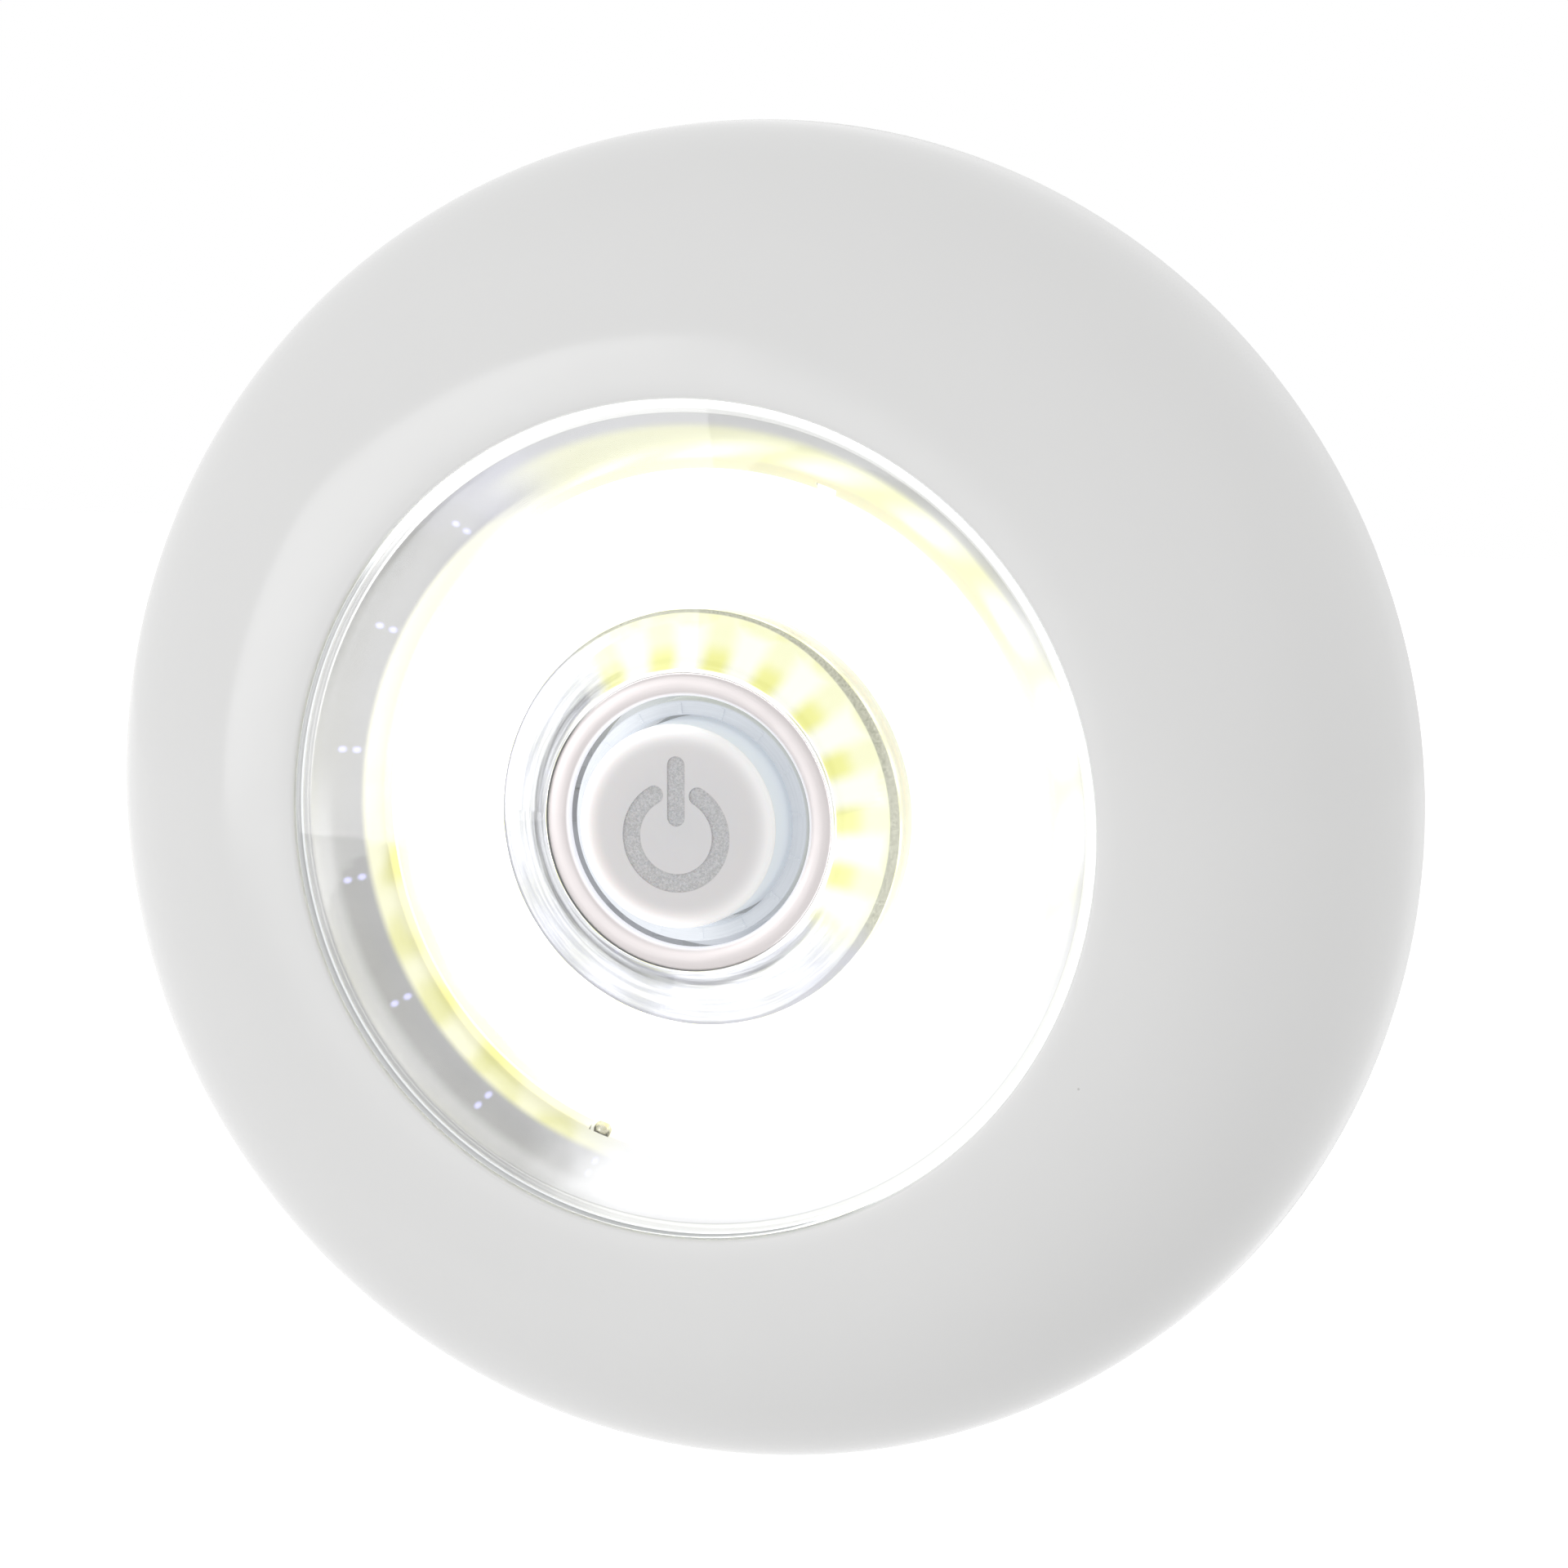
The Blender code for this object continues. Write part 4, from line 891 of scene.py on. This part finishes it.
def make_cover():
    cover = turned("cover", cover_outline(), glossy_white())
    posts = []
    holes = []
    for angle in post_angles:
        centre = (post_circle * math.cos(angle), post_circle * math.sin(angle))
        post = disc(centre, post_radius, hole_steps)
        hole = disc(centre, post_hole_radius, bore_steps)
        posts.append(prism("post", post, post_bottom, cover_top - cover_wall + sink / 2))
        holes.append(prism("hole", hole, post_bottom - sink, post_bottom + post_hole_depth))
    wall_inside = cover_radius - cover_wall + sink
    for middle in bayonet_angles:
        start = middle - bayonet_half
        end = middle + stop_end
        hook_top = hook_bottom + bayonet_thickness
        posts.append(ring_part(hook_inner, wall_inside, start, end, hook_bottom, hook_top))
        stop = middle + stop_start
        posts.append(ring_part(hook_inner, wall_inside, stop, end, hook_bottom + sink, stop_top))
    shaped(cover, "UNION", posts)
    shaped(cover, "DIFFERENCE", holes)
    hand_over(cover, "lamp", "housing")


# Lens
bore_round = mm(0.25)
lens_round = mm(0.22)
flange_round = mm(0.08)
flange_drop = mm(0.1)
flange_start = lens_radius - mm(0.2)


def make_lens():
    flange_top = lens_bottom + flange_drop
    outline = filleted(
        (lens_hole, lens_bottom, flange_round),
        (lens_hole, lens_top, bore_round),
        (lens_radius, lens_top, lens_round),
        (lens_radius, flange_top, 0),
        (lens_flange_radius, flange_top, flange_round),
        (lens_flange_radius, lens_flange_bottom, flange_round),
        (flange_start, lens_flange_bottom, flange_round),
        (flange_start, lens_bottom, 0),
    )
    hand_over(turned("lens_disc", outline, clear_lens()), "lamp", "lens")


# Reflector and hub
wall_steps = 24
mouth_round = mm(0.12)
rim_foot_round = mm(0.05)
flange_edge_round = mm(0.1)
reflector_flange_gap = mm(0.3)
reflector_flange = mm(0.8)
reflector_wall_top = mm(0.15)
reflector_wall_foot = mm(0.9)
notch_gap = mm(0.12)
notch_above = mm(0.3)
hub_wall = mm(0.6)
hub_skin = mm(0.5)
shoulder_round = mm(0.2)
shoulder_steps = 6
hidden_steps = 3
crown_steps = 20


def make_reflector():
    """The cone between the light ring and the lens, slightly hollow, with a rolled rim."""
    wall = []
    for step in range(wall_steps + 1):
        share = step / wall_steps
        radius = reflector_inner + (reflector_mouth - reflector_inner) * share
        rise = (reflector_top - reflector_foot) * share**reflector_curve
        wall.append((radius, reflector_foot + rise))
    flange_top = lens_flange_bottom - reflector_flange_gap
    flange_bottom = flange_top - reflector_flange
    outline = wall + filleted(
        (reflector_rim, reflector_top, mouth_round),
        (reflector_rim, flange_top, rim_foot_round),
        (reflector_flange_radius, flange_top, flange_edge_round),
        (reflector_flange_radius, flange_bottom, flange_edge_round),
        (reflector_mouth - reflector_wall_top, flange_bottom, 0),
        (reflector_inner + reflector_wall_foot, reflector_foot, 0),
    )
    cone = turned("reflector_cone", outline, reflector_chrome())
    notches = []
    for node in solder_joints:
        low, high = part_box(node)
        middle = ((low.x + high.x) / 2, (low.z + high.z) / 2)
        notch = disc(middle, (high.x - low.x) / 2 + notch_gap, hole_steps)
        notches.append(prism("notch", notch, reflector_foot - sink, -low.y + notch_above))
    shaped(cone, "DIFFERENCE", notches)
    hand_over(cone, "lamp", "reflector")


def make_hub():
    """The collar round the button: a low wall, a hollow flare and a rounded top."""
    crown = hub_top - crown_rise
    turns = [math.pi / 2 * step / wall_steps for step in range(wall_steps + 1)]
    width = hub_radius - hub_bore - hub_top_width
    rise = crown - hub_shoulder
    flare = [(hub_radius - width * math.sin(a), crown - rise * math.cos(a)) for a in turns]
    corner = (hub_radius - shoulder_round, hub_shoulder - shoulder_round)
    shoulder = arc(corner, shoulder_round, 0, math.pi / 2, shoulder_steps)
    half = hub_top_width / 2
    top = arc((hub_bore + half, 0), half, 0, math.pi, crown_steps)
    top = [(radius, crown + height * crown_rise / half) for radius, height in top]
    ceiling = hub_shoulder - hub_wall
    under_width = hub_radius - hub_bore - 2 * hub_wall
    under_rise = crown - hub_skin - ceiling
    under = [(hub_bore, crown - hub_skin)]
    for angle in turns[::-1]:
        radius = hub_radius - hub_wall - under_width * math.sin(angle)
        under.append((radius, ceiling + under_rise * (1 - math.cos(angle))))
    foot = [(hub_radius - hub_wall, hub_foot), (hub_radius, hub_foot)]
    outline = foot + shoulder + flare[hidden_steps:-1] + top + under
    collar = turned("hub_collar", outline, hub_chrome(), small_steps)
    hand_over(collar, "lamp", "reflector_hub")


# Light ring
solder_joints = ("solder_joint_1", "solder_joint_2")
solder_steps = 32
crown_of = {
    "phosphor_ring": mm(0.2),
    "inner_dam": mm(0.22),
    "outer_dam": mm(0.32),
}


def bead(node, finish):
    """A ring with a rounded top, in the place of a node."""
    near, far = depths_of(node)
    outer = radius_of(node)
    inner = min(math.hypot(v.co.x, v.co.z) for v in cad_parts[node].data.vertices)
    crown = crown_of[node]
    outline = filleted(
        (inner, near, 0),
        (outer, near, 0),
        (outer, far, crown),
        (inner, far, crown),
    )
    return turned(node + "_fine", outline, finish)


def solder_joint(node, finish):
    """A half ball on the light board, in the place of a node."""
    low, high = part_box(node)
    width = (high.x - low.x) / 2
    rise = high.y - low.y
    cap = arc((0, 0), 1, 0, math.pi / 2, 12)
    outline = [(0, 0)] + [(width * c, rise * s) for c, s in cap[:-1]] + [(0, rise)]
    joint = turned(node + "_fine", outline, finish, solder_steps, closed=False)
    middle = (low + high) / 2
    joint.data.transform(Matrix.Translation(Vector((middle.x, high.y, middle.z))))
    return joint


def make_light_ring():
    hand_over(bead("phosphor_ring", light_gel()), "lamp", "phosphor_ring")
    silicone = dam_silicone()
    for node in ("inner_dam", "outer_dam"):
        hand_over(bead(node, silicone), "lamp", node)
    solder = solder_metal()
    for node in solder_joints:
        hand_over(solder_joint(node, solder), "lamp", node)


# Button
button_wall = mm(1.0)
button_crown = mm(1.2)
button_round = mm(0.35)
skirt_round = mm(0.15)
inside_round = mm(0.2)
stroke_end_steps = 12
symbol_ring_steps = 64


def symbol_outlines():
    """The bar and the open ring of the on and off symbol."""
    half = symbol_stroke / 2
    centre = (0, -symbol_drop)
    start = math.pi / 2 + symbol_gap
    end = math.pi * 5 / 2 - symbol_gap
    first, last = arc(centre, symbol_radius, start, end, 1)
    bar = arc((0, symbol_bar_high), half, 0, math.pi, stroke_end_steps)
    bar += arc((0, symbol_bar_low), half, math.pi, math.tau, stroke_end_steps)
    ring = arc(centre, symbol_radius + half, start, end, symbol_ring_steps)
    ring += arc(last, half, end, end + math.pi, stroke_end_steps)[1:-1]
    ring += arc(centre, symbol_radius - half, end, start, symbol_ring_steps)
    ring += arc(first, half, start + math.pi, start + math.tau, stroke_end_steps)[1:-1]
    return bar, ring


def make_button():
    wall = button_radius - button_wall
    ceiling = button_top - button_crown
    outline = filleted(
        (0, button_top, 0),
        (button_radius, button_top, button_round),
        (button_radius, button_skirt, skirt_round),
        (wall, button_skirt, 0),
        (wall, ceiling, inside_round),
        (0, ceiling, 0),
    )
    cap = turned("push_button", outline, button_white(), small_steps, closed=False)
    floor = button_top - symbol_depth
    marks = [prism("mark", mark, floor, button_top + sink) for mark in symbol_outlines()]
    shaped(cap, "DIFFERENCE", marks)
    hand_over(cap, "button", "button_cap")


# The button's return spring
spring_wire = mm(0.15)
spring_turns = 4
spring_turn_points = 28
spring_sides = 10
spring_flat_share = 0.12
button_travel = mm(1.5)


def wound(name, points, wire, finish):
    """A round wire along points that wind round the lamp's axis."""
    mesh = bmesh.new()
    rings = []
    for number, point in enumerate(points):
        along = points[min(number + 1, len(points) - 1)] - points[max(number - 1, 0)]
        outwards = Vector((point.x, 0, point.z)).normalized()
        across = along.normalized().cross(outwards)
        turns = [math.tau * side / spring_sides for side in range(spring_sides)]
        places = [point + wire * (outwards * math.cos(a) + across * math.sin(a)) for a in turns]
        rings.append([mesh.verts.new(place) for place in places])
    for first, second in zip(rings, rings[1:]):
        for side in range(spring_sides):
            after = (side + 1) % spring_sides
            mesh.faces.new((first[side], first[after], second[after], second[side]))
    mesh.faces.new(rings[0])
    mesh.faces.new(rings[-1])
    made = bpy.data.meshes.new(name)
    mesh.to_mesh(made)
    mesh.free()
    return new_object(name, coated(finished(made), finish))


def make_button_spring():
    """The spring under the button: flat at both ends."""
    near, far = depths_of("button_spring")
    mean = radius_of("button_spring") - spring_wire
    rise = far - near - 2 * spring_wire
    count = spring_turns * spring_turn_points
    points = []
    for number in range(count + 1):
        share = number / count
        climb = (share - spring_flat_share) / (1 - 2 * spring_flat_share)
        depth = near + spring_wire + rise * min(1, max(0, climb))
        angle = math.tau * spring_turns * share
        points.append(Vector((mean * math.cos(angle), -depth, mean * math.sin(angle))))
    steel = metal("spring_steel", (0.72, 0.71, 0.69), 0.22, mm(0.05))
    spring = wound("return_spring", points, spring_wire, steel)
    hand_over(spring, "button", "button_spring")
    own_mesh(spring)


# The button's sleeve
guide_inner = mm(6.6)
guide_outer = mm(7.5)
guide_foot_height = mm(0.6)
guide_foot_round = mm(0.08)
guide_step_round = mm(0.1)
guide_top_round = mm(0.12)
guide_ribs = 16
first_rib = 0.1
rib_width = mm(0.25)
rib_height = mm(0.1)
rib_inset = mm(0.1)
rib_round = mm(0.05)


def make_guide():
    """The sleeve that the button slides in, with fine ribs round its top."""
    foot = radius_of("button_guide")
    foot_top = guide_foot + guide_foot_height
    outline = filleted(
        (guide_inner, guide_foot, 0),
        (foot, guide_foot, guide_foot_round),
        (foot, foot_top, guide_step_round),
        (guide_outer, foot_top, 0),
        (guide_outer, guide_top, guide_top_round),
        (guide_inner, guide_top, guide_top_round),
    )
    finish = guide_clear()
    sleeve = turned("button_sleeve", outline, finish, small_steps)
    start = guide_inner + rib_inset
    end = guide_outer - rib_inset
    rib = filleted(
        (start, -rib_width / 2, 0),
        (end, -rib_width / 2, rib_round),
        (end, rib_width / 2, rib_round),
        (start, rib_width / 2, 0),
    )
    seed = prism("rib", rib, guide_top - rib_inset, guide_top + rib_height)
    ribs = grown("ribs", seed, ROUND, Count=guide_ribs, Start=first_rib, Finish=finish)
    shaped(sleeve, "UNION", [ribs])
    hand_over(sleeve, "lamp", "button_guide")


# Wall base
skirt_outer = mm(37.6)
skirt_inner = mm(36.2)
skirt_top = mm(8.2)
plate = mm(2.0)
edge_height = mm(2.9)
edge_width = mm(2.4)
lug_outer = mm(39.6)
keyhole_x = mm(26.0)
keyhole_head = mm(4.0)
keyhole_slot = mm(2.1)
keyhole_half = mm(3.25)
pad_half = mm(17.0, 5.5)
pad_y = mm(20.0)
pad_corner = mm(2.0)
pad_pocket = mm(1.0)
pad_gap = mm(0.3)
pad_round = mm(0.15)
back_round = mm(0.35)
edge_round = mm(0.3)
small_round = mm(0.2)


def keyhole(x):
    """A round hole for a screw's head, with a slot for its shank above."""
    half = math.asin(keyhole_slot / keyhole_head)
    start = math.pi / 2 + half
    head = arc((x, -keyhole_half), keyhole_head, start, start + math.tau - 2 * half, 40)
    return head + arc((x, keyhole_half), keyhole_slot, 0, math.pi, 20)


def pad_outline(side, shrink):
    """An oblong with round corners, above the middle of the base or below it."""
    outline = []
    for quarter, (sx, sy) in enumerate(((1, 1), (-1, 1), (-1, -1), (1, -1))):
        x = sx * (pad_half[0] - shrink - pad_corner)
        y = side * pad_y + sy * (pad_half[1] - shrink - pad_corner)
        outline += arc((x, y), pad_corner, quarter * math.pi / 2, (quarter + 1) * math.pi / 2, 8)
    return outline


def make_base():
    edge_inner = base_radius - edge_width
    outline = filleted(
        (0, 0, 0),
        (base_radius, 0, back_round),
        (base_radius, edge_height, edge_round),
        (edge_inner, edge_height, small_round),
        (edge_inner, plate, small_round),
        (skirt_outer, plate, 0),
        (skirt_outer, skirt_top, small_round),
        (skirt_inner, skirt_top, small_round),
        (skirt_inner, plate, edge_round),
        (0, plate, 0),
    )
    finish = moulded_plastic("base_white", (0.78, 0.78, 0.765), 0.42, mm(0.18))
    base = turned("wall_plate", outline, finish, closed=False)
    lugs = []
    for middle in bayonet_angles:
        start = middle - bayonet_half
        end = middle + bayonet_half
        top = lug_bottom + bayonet_thickness
        lugs.append(ring_part(skirt_outer - sink, lug_outer, start, end, lug_bottom, top))
    shaped(base, "UNION", lugs)
    cuts = [prism("keyhole", keyhole(x), -sink, plate + sink) for x in (-keyhole_x, keyhole_x)]
    cuts += [prism("pocket", pad_outline(side, 0), -sink, pad_pocket) for side in (1, -1)]
    shaped(base, "DIFFERENCE", cuts)
    hand_over(base, "wall_base", "back_cover")


def make_pads():
    finish = foam_pad()
    for side, node in ((1, "adhesive_pad_upper"), (-1, "adhesive_pad_lower")):
        near, far = depths_of(node)
        pad = new_object(node + "_fine", prism(node, pad_outline(side, pad_gap), near, far))
        pad.data.materials.append(finish)
        bevel = pad.modifiers.new("soft_edge", "BEVEL")
        bevel.width = pad_round
        bevel.segments = 3
        made = evaluated_mesh(pad)
        pad.modifiers.remove(bevel)
        pad.data = finished(made)
        hand_over(pad, "wall_base", node)


# Pieces inside, which keep their solids


def dress_inside():
    """Gives each solid that stays in place its finish."""
    nickel = metal("nickel_plate", (0.72, 0.70, 0.66), 0.25, mm(0.08))
    black = moulded_plastic("switch_black", (0.03, 0.03, 0.032), 0.4, mm(0.1))
    finishes = {
        "chassis": moulded_plastic("tray_white", (0.74, 0.74, 0.72), 0.4, mm(0.15)),
        "cell": cell_sleeve(),
        "cell_spring": nickel,
        "positive_plate": nickel,
        "negative_plate": nickel,
        "upper_link": nickel,
        "lower_link": nickel,
        "chassis_screw": metal("zinc_plate", (0.62, 0.63, 0.66), 0.3, mm(0.05)),
        "led_board": circuit_board(
            "white_resist", (0.86, 0.86, 0.82), (0.78, 0.78, 0.74), depths_of("led_board")[1]
        ),
        "switch_board": circuit_board("pale_resist", (0.80, 0.81, 0.80), (0.72, 0.73, 0.72)),
        "switch_body": black,
        "switch_plunger": black,
        "resistor": moulded_plastic("resistor_ceramic", (0.66, 0.66, 0.65), 0.4, mm(0.1)),
        "light_lead_positive": moulded_plastic("red_sleeve", (0.55, 0.03, 0.02), 0.35, mm(0.1)),
        "light_lead_negative": moulded_plastic("black_sleeve", (0.02, 0.02, 0.02), 0.35, mm(0.1)),
    }
    finishes["supply_lead_positive"] = finishes["light_lead_positive"]
    finishes["supply_lead_negative"] = finishes["light_lead_negative"]
    for name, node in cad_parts.items():
        kind = name.rstrip("0123456789").rstrip("_")
        if kind in finishes:
            node.data.materials.clear()
            node.data.materials.append(finishes[kind])


# Studio
view = Vector((0.3124, -0.9409, 0.1310))
view_distance = 0.5
aim = Vector(mm(3.15, -11.2, 1.34))
lens_length = 183.2
floor_drop = 0.62
floor_half = 6.0
floor_glow = 0.5
world_light = 0.74


def facing(thing, place):
    """Puts the camera or a light in its place, turned to the point that all of them face."""
    thing.location = place
    thing.rotation_mode = "QUATERNION"
    thing.rotation_quaternion = (Vector(place) - aim).to_track_quat("Z", "Y")


def make_camera():
    data = bpy.data.cameras.new("camera")
    data.lens = lens_length
    data.sensor_width = 36
    data.clip_start = 0.01
    camera = new_object("camera", data)
    facing(camera, aim + view.normalized() * view_distance)
    bpy.context.scene.camera = camera


def soft_lamp(name, place, width, height, power, mirrored=True):
    """A soft box. One that isn't mirrored only fills."""
    data = bpy.data.lights.new(name, "AREA")
    data.shape = "RECTANGLE"
    data.size = width
    data.size_y = height
    data.energy = power
    lamp = new_object(name, data)
    lamp.visible_glossy = mirrored
    lamp.visible_transmission = mirrored
    facing(lamp, place)


def seen_directly(tree):
    """1 for what the camera sees, straight or in a mirror or through the lens, and 0 for light."""
    seen = 0
    for name in ("Is Camera Ray", "Is Glossy Ray", "Is Transmission Ray"):
        seen = tree.node("ShaderNodeLightPath", {}, name) | seen
    return seen


def make_world():
    """White to the camera and to what mirrors or shows it, and a softer grey as light."""
    world = bpy.data.worlds.new("studio")
    world.use_nodes = True
    bpy.context.scene.world = world
    seen = seen_directly(Tree(world.node_tree))
    shader = world.node_tree.nodes["Background"]
    shader.inputs["Color"].default_value = (1, 1, 1, 1)
    seen.tree.feed(shader.inputs["Strength"], world_light + seen * (1 - world_light))


def make_studio():
    bpy.context.scene.view_settings.view_transform = "Standard"
    make_world()
    soft_lamp("left_box", (-0.515, -0.857, 0.017), 0.46, 0.32, 1.15)
    soft_lamp("low_left_fill", (-0.8, -0.45, -0.3), 0.6, 0.8, 0.75, mirrored=False)
    soft_lamp("right_fill", (0.75, -0.4, 0.5), 0.6, 0.8, 0.7, mirrored=False)
    corners = [(-floor_half, -floor_half), (floor_half, -floor_half)]
    corners += [(floor_half, floor_half), (-floor_half, floor_half)]
    mesh = bpy.data.meshes.new("floor")
    mesh.from_pydata([(x, y, -floor_drop) for x, y in corners], [], [(0, 1, 2, 3)])
    floor = new_object("floor", mesh)
    mesh.materials.append(studio_white())
    make_camera()


make_cover()
make_lens()
make_reflector()
make_hub()
make_light_ring()
make_button()
make_button_spring()
make_guide()
make_base()
make_pads()
dress_inside()
make_studio()
